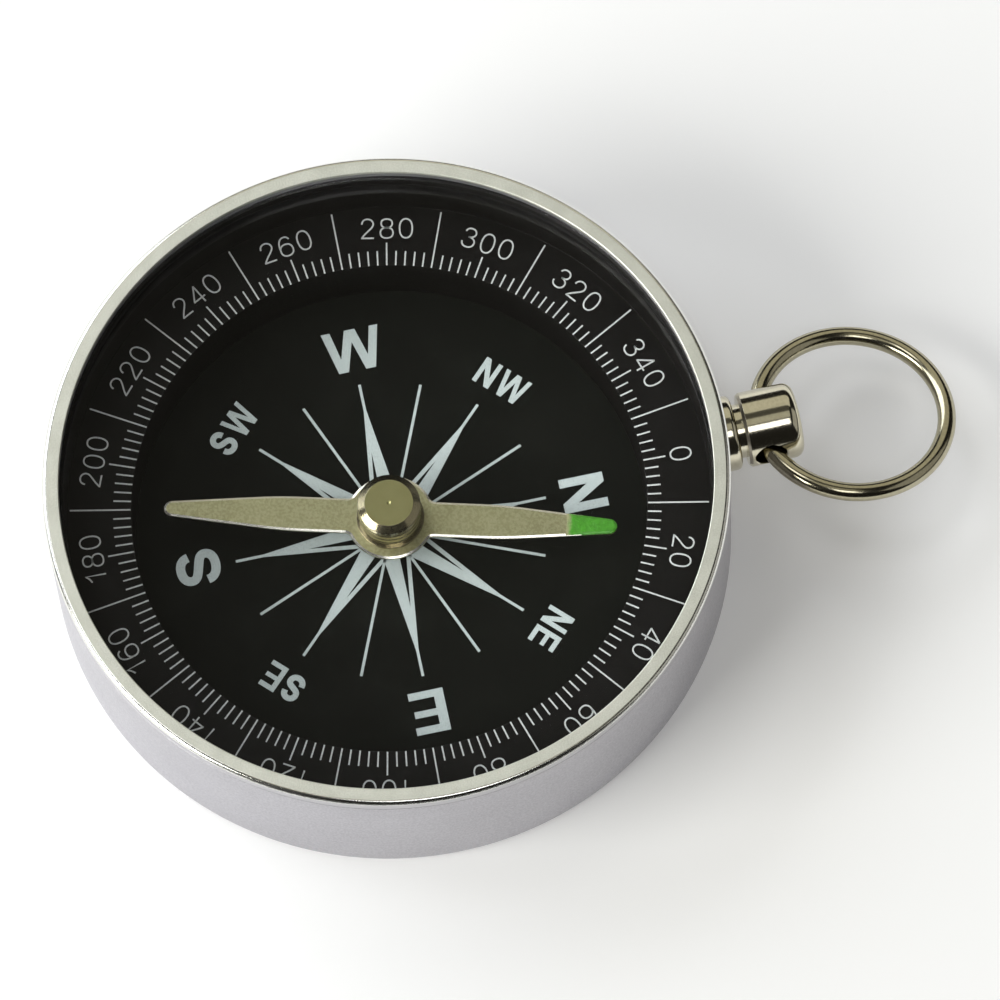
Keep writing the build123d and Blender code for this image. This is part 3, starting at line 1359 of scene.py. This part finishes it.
S_PATH = bezier(
    (0.95, 0.735),
    ((0.92, 0.91), (0.74, 1.0), (0.49, 1.0)),
    ((0.22, 1.0), (0.03, 0.90), (0.03, 0.745)),
    ((0.03, 0.575), (0.26, 0.545), (0.52, 0.49)),
    ((0.80, 0.43), (1.0, 0.41), (1.0, 0.25)),
    ((1.0, 0.09), (0.80, 0.0), (0.53, 0.0)),
    ((0.25, 0.0), (0.03, 0.09), (0.0, 0.29)),
)


@dataclass
class DegreeRing:
    """The moulded ring and its printed scale. Sizes in millimetres, bearings in degrees."""

    shelf: float = 5.65
    shelf_depth: float = 0.8
    inner_wall: float = 0.6
    outer_wall: float = 0.55
    band: float = 4.8
    edge: float = 0.05
    lens_gap: float = 0.02
    ink: float = 0.015
    zero_bearing: float = 2.25
    shift: Point = (-0.02, -0.13)
    tick_step: int = 2
    tick_width: float = 0.1
    tick_start: float = 0.03
    short_tick: float = 1.03
    medium_tick: float = 1.61
    long_tick: float = 4.02
    number_step: int = 20
    number_radius: float = 19.66
    number_height: float = 1.36
    number_stroke: float = 0.105
    digit_step: float = 1.28
    one_step: float = 1.08

    def build(self) -> None:
        """Make the moulding, its ticks and its numbers."""
        outer, low, high = levels("degree_ring")
        inner = outer - self.band
        top = high - self.lens_gap
        under = self.shelf - self.shelf_depth
        corners = [
            (inner, low, 0.0),
            (inner + self.inner_wall, low, 0.0),
            (inner + self.inner_wall, under, 0.0),
            (outer - self.outer_wall, under, 0.0),
            (outer - self.outer_wall, low, 0.0),
            (outer, low, 0.0),
            (outer, top, 0.0),
            (outer - self.outer_wall, top, self.edge),
            (outer - self.outer_wall, self.shelf, self.edge),
            (inner, self.shelf, self.edge),
        ]
        add_turned(
            "scale_moulding", corners, BLACK_MOULDING, Body.CASE, "degree_ring", self.edge / 2
        )
        self._ticks(inner + self.tick_start)
        self._numbers()

    def _ticks(self, radius: float) -> None:
        """Print the ticks.

        Args:
            radius: where every tick starts.
        """
        mark = Print(self.shelf, self.shelf + self.ink)
        half = self.tick_width / 2
        outline = [(-half, 0.0), (half, 0.0), (half, 1.0), (-half, 1.0)]
        mark.fill(outline, Matrix.Identity(4))
        ring = MarkRing(
            FULL_TURN // self.tick_step, self.zero_bearing, radius, self.short_tick,
            self.medium_tick, self.long_tick, self.shift,
        )
        mesh = ring.build("scale_ticks", mark.mesh("tick"), SCALE_INK)
        add_piece("scale_ticks", mesh, SCALE_INK, Body.CASE)

    def _numbers(self) -> None:
        """Print the numbers, each over its own tick."""
        ink = Print(self.shelf, self.shelf + self.ink)
        shift = Matrix.Translation((*self.shift, 0.0))
        for number in range(0, FULL_TURN, self.number_step):
            text = str(number)
            centres = [0.0]
            for digit in text[:-1]:
                step = self.one_step if digit == "1" else self.digit_step
                centres.append(centres[-1] + step)
            middle = (centres[0] + centres[-1]) / 2
            bearing = self.zero_bearing + number
            for digit, centre in zip(text, centres):
                place = on_dial(bearing, self.number_radius, centre - middle)
                self._digit(ink, digit, shift @ place)
        add_piece("scale_numbers", ink.mesh("scale_numbers"), SCALE_INK, Body.CASE)

    def _digit(self, ink: Print, digit: str, place: Matrix) -> None:
        """Print one digit.

        Args:
            ink: the print that it joins.
            digit: which digit.
            place: its middle on the dial.
        """
        size = self.number_height
        for path in DIGITS[digit]:
            sized = [((x - DIGIT_WIDTH / 2) * size, (y - 0.5) * size) for x, y in path]
            ink.stroke(sized, self.number_stroke, place)


@dataclass
class DialCard:
    """The card and its printed rose and letters. Sizes in millimetres, bearings in degrees."""

    ink: float = 0.015
    bearing: float = 0.73
    shift: Point = (-0.015, -0.045)
    points: int = 8
    line: float = 0.183
    tip: float = 10.5
    ray_tip: float = 10.42
    shoulder: float = 8.6
    root: float = 1.9
    spread: float = 0.121
    outline: float = 0.27
    notch: float = 5.65
    notch_side: float = -0.165
    letter_radius: float = 13.02
    letter_height: float = 2.97
    letter_shift: float = 0.1
    pair_radius: float = 12.75
    pair_height: float = 1.93
    pair_squeeze: float = 0.8
    pair_gap: float = 0.32
    letters: dict[int, str] = field(
        default_factory=lambda: {
            0: "N", 45: "NE", 90: "E", 135: "SE", 180: "S", 225: "SW", 270: "W", 315: "NW",
        }
    )
    nudges: dict[int, float] = field(default_factory=lambda: {0: 0.1, 225: 0.15, 315: 0.38})

    def build(self) -> None:
        """Make the card and its print."""
        radius, low, high = levels("dial_plate")
        corners = [(0.0, low, 0.0), (radius, low, 0.0), (radius, high, 0.0), (0.0, high, 0.0)]
        add_turned("dial_card", corners, BLACK_CARD, Body.CASE, "dial_plate")
        self._rose(high)
        self._letters(high)

    def _add_print(self, name: str, mesh: bpy.types.Mesh) -> None:
        """Shift a print to where it lies on the card and make it a piece.

        Args:
            name: the piece's name.
            mesh: the print's mesh, about the axis.
        """
        mesh.transform(Matrix.Translation((self.shift[0] * MM, self.shift[1] * MM, 0.0)))
        add_piece(name, mesh, ROSE_INK, Body.CASE)

    def _rose(self, level: float) -> None:
        """Print the rose's pointed arms and the thin rays between them.

        Args:
            level: the card's top.
        """
        half = self.line / 2
        root_half = half + self.spread * (self.shoulder - self.root)
        arm = Print(level, level + self.ink)
        arm_outline = [
            (-half, self.tip),
            (-half, self.shoulder),
            (-root_half, self.root),
            (self.outline - root_half, self.root),
            (self.notch_side, self.notch),
            (self.notch_side, self.root),
            (root_half, self.root),
            (half, self.shoulder),
            (half, self.tip),
        ]
        arm.fill(arm_outline, Matrix.Identity(4))
        arms = MarkRing(self.points, self.bearing).build("rose_arms", arm.mesh("arm"), ROSE_INK)
        self._add_print("rose_arms", arms)
        ray = Print(level, level + self.ink)
        ray_line = [(0.0, self.root), (0.0, self.ray_tip)]
        ray.stroke(ray_line, self.line, Matrix.Identity(4))
        between = self.bearing + FULL_TURN / (2 * self.points)
        rays = MarkRing(self.points, between).build("rose_rays", ray.mesh("ray"), ROSE_INK)
        self._add_print("rose_rays", rays)

    def _letters(self, level: float) -> None:
        """Print the letters of the eight directions.

        Args:
            level: the card's top.
        """
        ink = Print(level, level + self.ink)
        for bearing, word in self.letters.items():
            single = len(word) == 1
            height = self.letter_height if single else self.pair_height
            squeeze = 1.0 if single else self.pair_squeeze
            radius = self.letter_radius if single else self.pair_radius
            shapes = [S_WIDTH if letter == "S" else LETTERS[letter][0] for letter in word]
            widths = [height * squeeze * shape for shape in shapes]
            run = sum(widths) + self.pair_gap * (len(word) - 1)
            left = self.letter_shift + self.nudges.get(bearing, 0.0) - run / 2
            for letter, width in zip(word, widths):
                place = on_dial(self.bearing + bearing, radius - height / 2, left)
                self._letter(ink, letter, width, height, place)
                left += width + self.pair_gap
        self._add_print("rose_letters", ink.mesh("rose_letters"))

    def _letter(
        self, ink: Print, letter: str, width: float, height: float, place: Matrix
    ) -> None:
        """Print one letter.

        Args:
            ink: the print that it joins.
            letter: which letter.
            width: its width.
            height: its height.
            place: its lower left corner on the dial.
        """
        if letter != "S":
            ink.fill([(x * width, y * height) for x, y in LETTERS[letter][1]], place)
            return
        stroke = S_STROKE * height
        inner_width, inner_height = width - stroke, height - stroke
        path = [(stroke / 2 + x * inner_width, stroke / 2 + y * inner_height) for x, y in S_PATH]
        ink.stroke(path, stroke, place)


@dataclass
class Needle:
    """The blade, its painted end and the turned cap. Sizes in millimetres."""

    bearing: float = 15.6
    half_length: float = 15.0
    root_width: float = 2.38
    tip_width: float = 1.04
    taper_length: float = 7.6
    bend: float = 30.0
    hub: float = 2.9
    hub_fillet: float = 0.5
    edge: float = 0.09
    bevel: Point = (0.14, 0.05)
    paint_colour: Colour = (0.035, 0.185, 0.008, 1.0)
    paint_roughness: float = 0.3
    paint_length: float = 3.4
    paint_fade: float = 1.0
    paint_rise: float = 0.05
    paint_film: float = 0.15
    paint_edge: float = 0.00345
    paint_bevel: Point = (0.14, 0.055)
    paint_inset: float = 0.03
    arc_steps: int = 24
    side_step: float = 0.3
    cap_radius: float = 2.08
    cap_bevel: float = 0.46
    cap_bevel_drop: float = 0.31
    cap_foot: float = 0.15
    cap_fine: float = 0.05
    cap_segments: int = 128
    spigot: float = 1.3
    stake: float = 1.6
    bore: float = 0.95
    bore_roof: float = 5.05
    dimple: float = 0.15
    dimple_depth: float = 0.08
    grooves: int = 3
    groove_width: float = 0.16
    groove_depth: float = 0.08

    def build(self) -> None:
        """Make the three pieces."""
        _, low, high = levels("needle_blade")
        outline = self._outline()
        blade = plate("blade", self._turned(outline), low, high, self.edge, self.bevel)
        add_piece("blade", blade, NEEDLE_NICKEL, Body.NEEDLE, "needle_blade")
        start = self.half_length - self.paint_length
        paint = Enamel(
            "green_paint", self.paint_colour, self.paint_roughness, metal=NEEDLE_NICKEL.mean(),
            metal_roughness=NEEDLE_NICKEL.roughness, bearing=self.bearing, fade_from=start,
            fade_to=start + self.paint_fade / 2,
        )
        coat = self._coat(outline, start, high)
        add_piece("painted_end", coat, paint, Body.NEEDLE, "north_paint")
        self._trim(blade, paint, start + self.paint_fade)
        self._cap(low, high)

    def _trim(self, blade: bpy.types.Mesh, paint: Enamel, start: float) -> None:
        """Give the rolled edges along the blade's top a pale colour, a painted highlight, where they
        are bare, and the green paint near the tip.

        Args:
            blade: the blade's mesh.
            paint: the paint on its north end.
            start: where the painted edges start, from the axis.
        """
        for finish in (NEEDLE_EDGE_HIGHLIGHT, paint):
            blade.materials.append(finish.material())
        outward = self._outward()
        for face in blade.polygons:
            if EDGE_SLOPE[0] < face.normal.z < EDGE_SLOPE[1]:
                painted = face.center.dot(outward) > start * MM
                # Bare rolled edges take the pale painted highlight.
                face.material_index = BladeSlot.PAINT if painted else BladeSlot.EDGE

    def _outward(self) -> Vector:
        """Direction from the axis to the painted end."""
        turn = math.radians(self.bearing)
        return Vector((math.sin(turn), math.cos(turn), 0.0))

    def _turned(self, outline: Sequence[Point]) -> list[Point]:
        """Turn an outline that points along +Y to the needle's bearing."""
        turn = Matrix.Rotation(-math.radians(self.bearing), 2)
        return [tuple(turn @ Vector(point)) for point in outline]

    def _quarter(self) -> list[Point]:
        """Draw a quarter of the outline, on the +X side.

        Returns:
            Its points, from the tip to the side of the hub.
        """
        tip_half = self.tip_width / 2
        root_half = self.root_width / 2
        tip_centre = self.half_length - tip_half
        points = []
        for step in range(self.arc_steps):
            turn = math.radians(QUARTER_TURN * step / self.arc_steps)
            points.append((tip_half * math.sin(turn), tip_centre + tip_half * math.cos(turn)))
        fillet = self.hub_fillet
        side = root_half + fillet
        level = math.sqrt((self.hub + fillet) ** 2 - side**2)
        bend = (root_half, self.half_length - self.taper_length, self.bend)
        taper = [(tip_half, tip_centre, 0.0), bend, (root_half, level, 0.0)]
        points += divided(fillet_path(taper, closed=False), self.side_step)
        lean = math.atan2(level, side)
        fillet_steps = self.arc_steps // 2
        for step in range(1, fillet_steps + 1):
            angle = math.pi + lean * step / fillet_steps
            points.append((side + fillet * math.cos(angle), level + fillet * math.sin(angle)))
        for step in range(1, self.arc_steps + 1):
            angle = lean * (1 - step / self.arc_steps)
            points.append((self.hub * math.cos(angle), self.hub * math.sin(angle)))
        return points

    def _outline(self) -> list[Point]:
        """Mirror the quarter to the whole outline.

        Returns:
            Its points, anticlockwise, pointing along +Y.
        """
        quarter = self._quarter()
        right = quarter + [(x, -y) for x, y in reversed(quarter[:-1])]
        left = [(-x, y) for x, y in reversed(right[1:-1])]
        return list(reversed(right + left))

    def _coat(self, outline: Sequence[Point], start: float, level: float) -> bpy.types.Mesh:
        """The coat of paint, full at the tip and thinned out to a film at its inner end.

        Args:
            outline: the blade's outline, pointing along +Y.
            start: where the coat starts, from the axis.
            level: the blade's top.

        Returns:
            The coat's mesh, in place.
        """
        tip = [point for point in outline if point[1] > start]
        tip.sort(key=lambda point: math.atan2(point[1] - start, point[0]))
        taper = self.taper_length - self.tip_width / 2
        share = (self.taper_length - self.paint_length) / taper
        half = (self.root_width + (self.tip_width - self.root_width) * share) / 2
        shape = inset([(half, start), *tip, (-half, start)], self.paint_inset)
        mesh = plate(
            "painted_end", self._turned(shape), level - self.bevel[1], level + self.paint_rise,
            self.paint_edge, self.paint_bevel,
        )
        outward = self._outward()
        for vertex in mesh.vertices:
            fullness = (vertex.co.dot(outward) / MM - start) / self.paint_fade
            rise = vertex.co.z - level * MM
            if rise > 0:
                vertex.co.z = level * MM + rise * min(max(fullness, self.paint_film), 1.0)
        return mesh

    def _cap(self, low: float, high: float) -> None:
        """The cap: turned, chamfered and grooved, with a spigot staked under the blade.

        Args:
            low: the blade's underside.
            high: the blade's top.
        """
        foot_radius, stake_low, top = levels("needle_cap")
        shoulder = top - self.cap_bevel_drop
        foot = high + self.cap_foot
        corners = [
            (self.bore, stake_low, 0.0),
            (self.stake, stake_low, 0.0),
            (self.stake, low, 0.0),
            (self.spigot, low, 0.0),
            (self.spigot, high, 0.0),
            (foot_radius, high, 0.0),
            (foot_radius, foot, self.cap_fine),
            (self.cap_radius, foot, 0.0),
        ]
        pitch = (shoulder - foot) / (self.grooves + 1)
        valley = self.cap_radius - self.groove_depth
        for groove in range(1, self.grooves + 1):
            middle = foot + pitch * groove
            corners += [
                (self.cap_radius, middle - self.groove_width / 2, self.cap_fine / 2),
                (valley, middle, self.cap_fine / 2),
                (self.cap_radius, middle + self.groove_width / 2, self.cap_fine / 2),
            ]
        corners += [
            (self.cap_radius, shoulder, self.cap_fine),
            (self.cap_radius - self.cap_bevel, top, self.cap_fine),
            (self.dimple, top, self.cap_fine),
            (0.0, top - self.dimple_depth, 0.0),
            (0.0, self.bore_roof, 0.0),
            (self.bore, self.bore_roof, 0.0),
        ]
        add_turned(
            "turned_cap", corners, CAP_NICKEL, Body.NEEDLE, "needle_cap", self.cap_fine / 2,
            segments=self.cap_segments,
        )


@dataclass
class Pivot:
    """The bush, the pin and the jewel, which stay as they are modelled."""

    def build(self) -> None:
        """Give each its surface."""
        dress_node("pivot_base", BUSH_BRASS)
        dress_node("pivot_pin", PIN_STEEL)
        dress_node("cap_jewel", JEWEL)


@dataclass
class Bow:
    """The stem on the case and the wire ring through it. Sizes in millimetres."""

    radius: float = 6.29
    wire: float = 0.61
    droop: float = 8.0
    split: float = 0.15
    turns: int = 256
    sides: int = 40
    wall: float = 0.65
    shank: float = 1.2
    shank_flare: float = 0.25
    flange: float = 2.5
    flange_length: float = 0.9
    flange_round: float = 0.35
    neck: float = 1.8
    neck_length: float = 0.45
    head_face: float = 2.35
    head: float = 2.5
    head_flare: float = 0.2
    head_round: float = 0.7
    head_crown: float = 0.2
    crown_shares: tuple[float, ...] = (0.6, 0.4, 0.2, 0.0)
    fine_edge: float = 0.04
    hole: float = 0.99
    mouth: float = 0.2
    longest: float = 0.16
    segments: int = 160

    def build(self) -> None:
        """Make both pieces."""
        joint = next(j for j in frame["joints"] if j["name"] == "bow_swing")
        hinge = Vector(joint["axis"]).normalized()
        point = Vector(joint["pos_m"])
        stem = self._stem(hinge, point)
        add_piece("stem", stem, STEM_NICKEL, Body.CASE, "bow_stem")
        ring = self._ring(hinge, point)
        add_piece("wire_ring", ring, BOW_NICKEL, Body.BOW, "bow_ring")

    def _stem(self, hinge: Vector, point: Vector) -> bpy.types.Mesh:
        """The stem: shank, flange, neck and domed head, with the ring's hole across it.

        Args:
            hinge: direction of the hole.
            point: middle of the hole.

        Returns:
            The stem's mesh, in place.
        """
        case = levels("case_body")[0]
        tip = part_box("bow_stem")[1].y / MM
        inside = case - self.wall
        saddle = math.sqrt(case**2 - self.flange**2)
        face = case + self.flange_length
        back = face + self.neck_length
        crown = (self.head**2 + self.head_crown**2) / (2 * self.head_crown)
        corners = [
            (0.0, inside, 0.0),
            (self.shank + self.shank_flare, inside, 0.0),
            (self.shank, inside + self.shank_flare, 0.0),
            (self.shank, saddle, 0.0),
            (self.flange, saddle, 0.0),
            (self.flange, face, self.flange_round),
            (self.neck, face, 0.0),
            (self.neck, back, 0.0),
            (self.head_face, back, self.fine_edge),
            (self.head, back + self.head_flare, self.fine_edge),
            (self.head, tip - self.head_crown, self.head_round),
        ]
        for share in self.crown_shares:
            reach = self.head * share
            corners.append((reach, tip - crown + math.sqrt(crown**2 - reach**2), 0.0))
        profile = divided(fillet_path(corners, steps=FINE_ARC_STEPS), self.longest)
        body = lathe("stem", profile, self.segments)
        lift = Matrix.Translation((0.0, 0.0, point.z))
        body.transform(lift @ Matrix.Rotation(math.radians(-QUARTER_TURN), 4, "X"))
        drill = lathe("stem_drill", self._drill(), self.segments)
        across = hinge.to_track_quat("Z", "Y").to_matrix().to_4x4()
        drill.transform(Matrix.Translation(point) @ across)
        return drilled("stem", body, drill)

    def _drill(self) -> list[Point]:
        """Draw the hole's profile, straight in the middle and rounded out at its mouths.

        Returns:
            Radius and depth of its points, from one end to the other.
        """
        far = 2 * self.head
        upper = []
        for step in range(ARC_STEPS + 1):
            turn = math.radians(QUARTER_TURN * step / ARC_STEPS)
            depth = self.head - 2 * self.mouth + 2 * self.mouth * math.sin(turn)
            upper.append((self.hole + self.mouth * (1 - math.cos(turn)), depth))
        upper += [(self.hole + self.mouth, far), (0.0, far)]
        return [(radius, -depth) for radius, depth in reversed(upper)] + upper

    def _ring(self, hinge: Vector, point: Vector) -> bpy.types.Mesh:
        """The wire ring, round in section, with its split inside the stem's hole.

        Args:
            hinge: direction of the hole.
            point: middle of the hole.

        Returns:
            The ring's mesh, in place.
        """
        stem = Vector((0.0, 1.0, 0.0))
        up = hinge.cross(stem)
        droop = math.radians(self.droop)
        out = stem * math.cos(droop) - up * math.sin(droop)
        normal = hinge.cross(out)
        sag = (self.radius - math.sqrt(self.radius**2 - self.head**2)) / 2
        centre = point + out * ((self.radius - sag) * MM)
        gap = self.split / self.radius
        shell = bmesh.new()
        rings = []
        for turn in range(self.turns + 1):
            angle = gap / 2 + (math.tau - gap) * turn / self.turns
            spoke = -out * math.cos(angle) + hinge * math.sin(angle)
            ring = []
            for side in range(self.sides):
                lean = math.tau * side / self.sides
                reach = (self.radius + self.wire * math.cos(lean)) * MM
                rise = self.wire * math.sin(lean) * MM
                ring.append(shell.verts.new(centre + spoke * reach + normal * rise))
            rings.append(ring)
        for first, second in zip(rings, rings[1:]):
            for side in range(self.sides):
                shell.faces.new((first[side - 1], first[side], second[side], second[side - 1]))
        shell.faces.new(rings[0])
        shell.faces.new(rings[-1])
        bmesh.ops.recalc_face_normals(shell, faces=shell.faces)
        return shaded(shell, "wire_ring", WIRE_CREASE)


@dataclass(frozen=True)
class Lamp:
    """A soft rectangular light that faces the object. Metres and degrees."""

    name: str
    bearing: float
    elevation: float
    width: float
    height: float
    brightness: float
    colour: tuple[float, float, float] = (1.0, 1.0, 1.0)
    distance: float = 1.2

    def build(self) -> None:
        """Hang the light, with the power that gives its face the wanted brightness."""
        lamp = bpy.data.lights.new(self.name, "AREA")
        lamp.shape = "RECTANGLE"
        lamp.size = self.width
        lamp.size_y = self.height
        lamp.energy = math.pi * self.width * self.height * self.brightness
        lamp.color = self.colour
        holder = bpy.data.objects.new(self.name, lamp)
        bpy.context.scene.collection.objects.link(holder)
        bearing, elevation = math.radians(self.bearing), math.radians(self.elevation)
        level = Vector((math.sin(bearing), math.cos(bearing), 0.0)) * math.cos(elevation)
        direction = level + Vector((0.0, 0.0, math.sin(elevation)))
        holder.location = direction * self.distance
        holder.rotation_euler = direction.to_track_quat("Z", "Y").to_euler()


@dataclass
class Studio:
    """Floor, lights, surroundings and camera. Metres, unless a name says otherwise."""

    floor_size: float = 8.0
    floor_drop: float = 0.00002
    azimuth: float = 81.397
    elevation: float = 70.038
    roll: float = -4.236
    distance_mm: float = 585.26
    aim_right_mm: float = 7.14
    aim_up_mm: float = 2.539
    focal_length_mm: float = 316.81
    sensor_mm: float = 36.0
    surround: Colour = (1.0, 0.95, 0.86, 1.0)
    surround_level: float = 0.015
    lamps: tuple[Lamp, ...] = (
        Lamp("south_softbox", 166, 27, 0.8, 0.8, 8.4, (1.0, 1.0, 0.95)),
        Lamp("south_west_softbox", 228, 30, 1.0, 0.9, 3.2, (0.92, 0.96, 1.0)),
        Lamp("south_west_top", 225, 70, 0.3, 0.3, 2.8),
        Lamp("west_softbox", 283, 43, 1.1, 0.8, 0.58, (1.0, 0.96, 0.78)),
        Lamp("ceiling", 278, 70.5, 0.6, 0.4, 0.05, (1.0, 0.95, 0.75)),
        Lamp("overhead", 90, 89.9, 0.6, 0.4, 0.45, (1.0, 0.97, 0.8)),
        Lamp("north_softbox", 16, 34, 1.2, 1.0, 0.36, (1.0, 0.98, 0.9)),
        Lamp("front_light", 90, 68, 0.36, 0.34, 3.0),
    )

    def build(self) -> None:
        """Set the studio up."""
        bpy.context.scene.view_settings.view_transform = "Standard"
        self._floor()
        self._world()
        self._camera()
        for lamp in self.lamps:
            lamp.build()

    def _floor(self) -> None:
        """The pale floor that the case lies on."""
        half = self.floor_size / 2
        mesh = bpy.data.meshes.new("floor")
        corners = [(-half, -half), (half, -half), (half, half), (-half, half)]
        mesh.from_pydata([(x, y, -self.floor_drop) for x, y in corners], [], [(0, 1, 2, 3)])
        mesh.materials.append(PALE_FLOOR.material())
        floor = bpy.data.objects.new("floor", mesh)
        bpy.context.scene.collection.objects.link(floor)

    def _world(self) -> None:
        """Dim, warm and even surroundings."""
        world = bpy.data.worlds.new("surroundings")
        bpy.context.scene.world = world
        world.use_nodes = True
        graph = Graph(world.node_tree)
        sockets = {"Color": self.surround, "Strength": self.surround_level}
        backdrop = graph.add("ShaderNodeBackground", sockets=sockets)
        graph.node("ShaderNodeOutputWorld", sockets={"Surface": backdrop})

    def _camera(self) -> None:
        """The camera at the photograph's angle."""
        azimuth, elevation = math.radians(self.azimuth), math.radians(self.elevation)
        roll = math.radians(self.roll)
        level = Vector((math.sin(azimuth), -math.cos(azimuth), 0.0)) * math.cos(elevation)
        back = level + Vector((0.0, 0.0, math.sin(elevation)))
        right = Vector((math.cos(azimuth), math.sin(azimuth), 0.0))
        up = back.cross(right)
        turned_right = right * math.cos(roll) + up * math.sin(roll)
        turned_up = up * math.cos(roll) - right * math.sin(roll)
        lens = bpy.data.cameras.new("camera")
        lens.lens = self.focal_length_mm
        lens.sensor_width = self.sensor_mm
        camera = bpy.data.objects.new("camera", lens)
        bpy.context.scene.collection.objects.link(camera)
        pose = Matrix((turned_right, turned_up, back)).transposed().to_4x4()
        aim = turned_right * self.aim_right_mm + turned_up * self.aim_up_mm
        pose.translation = (back * self.distance_mm + aim) * MM
        camera.matrix_world = pose
        bpy.context.scene.camera = camera


def main() -> None:
    """Build the compass and its studio."""
    logging.basicConfig(level=logging.INFO, format="%(name)s %(message)s")
    assemblies = (CaseShell(), DegreeRing(), DialCard(), Pivot(), Needle(), Bow(), Studio())
    for assembly in assemblies:
        assembly.build()


if __name__ == "__main__":
    main()
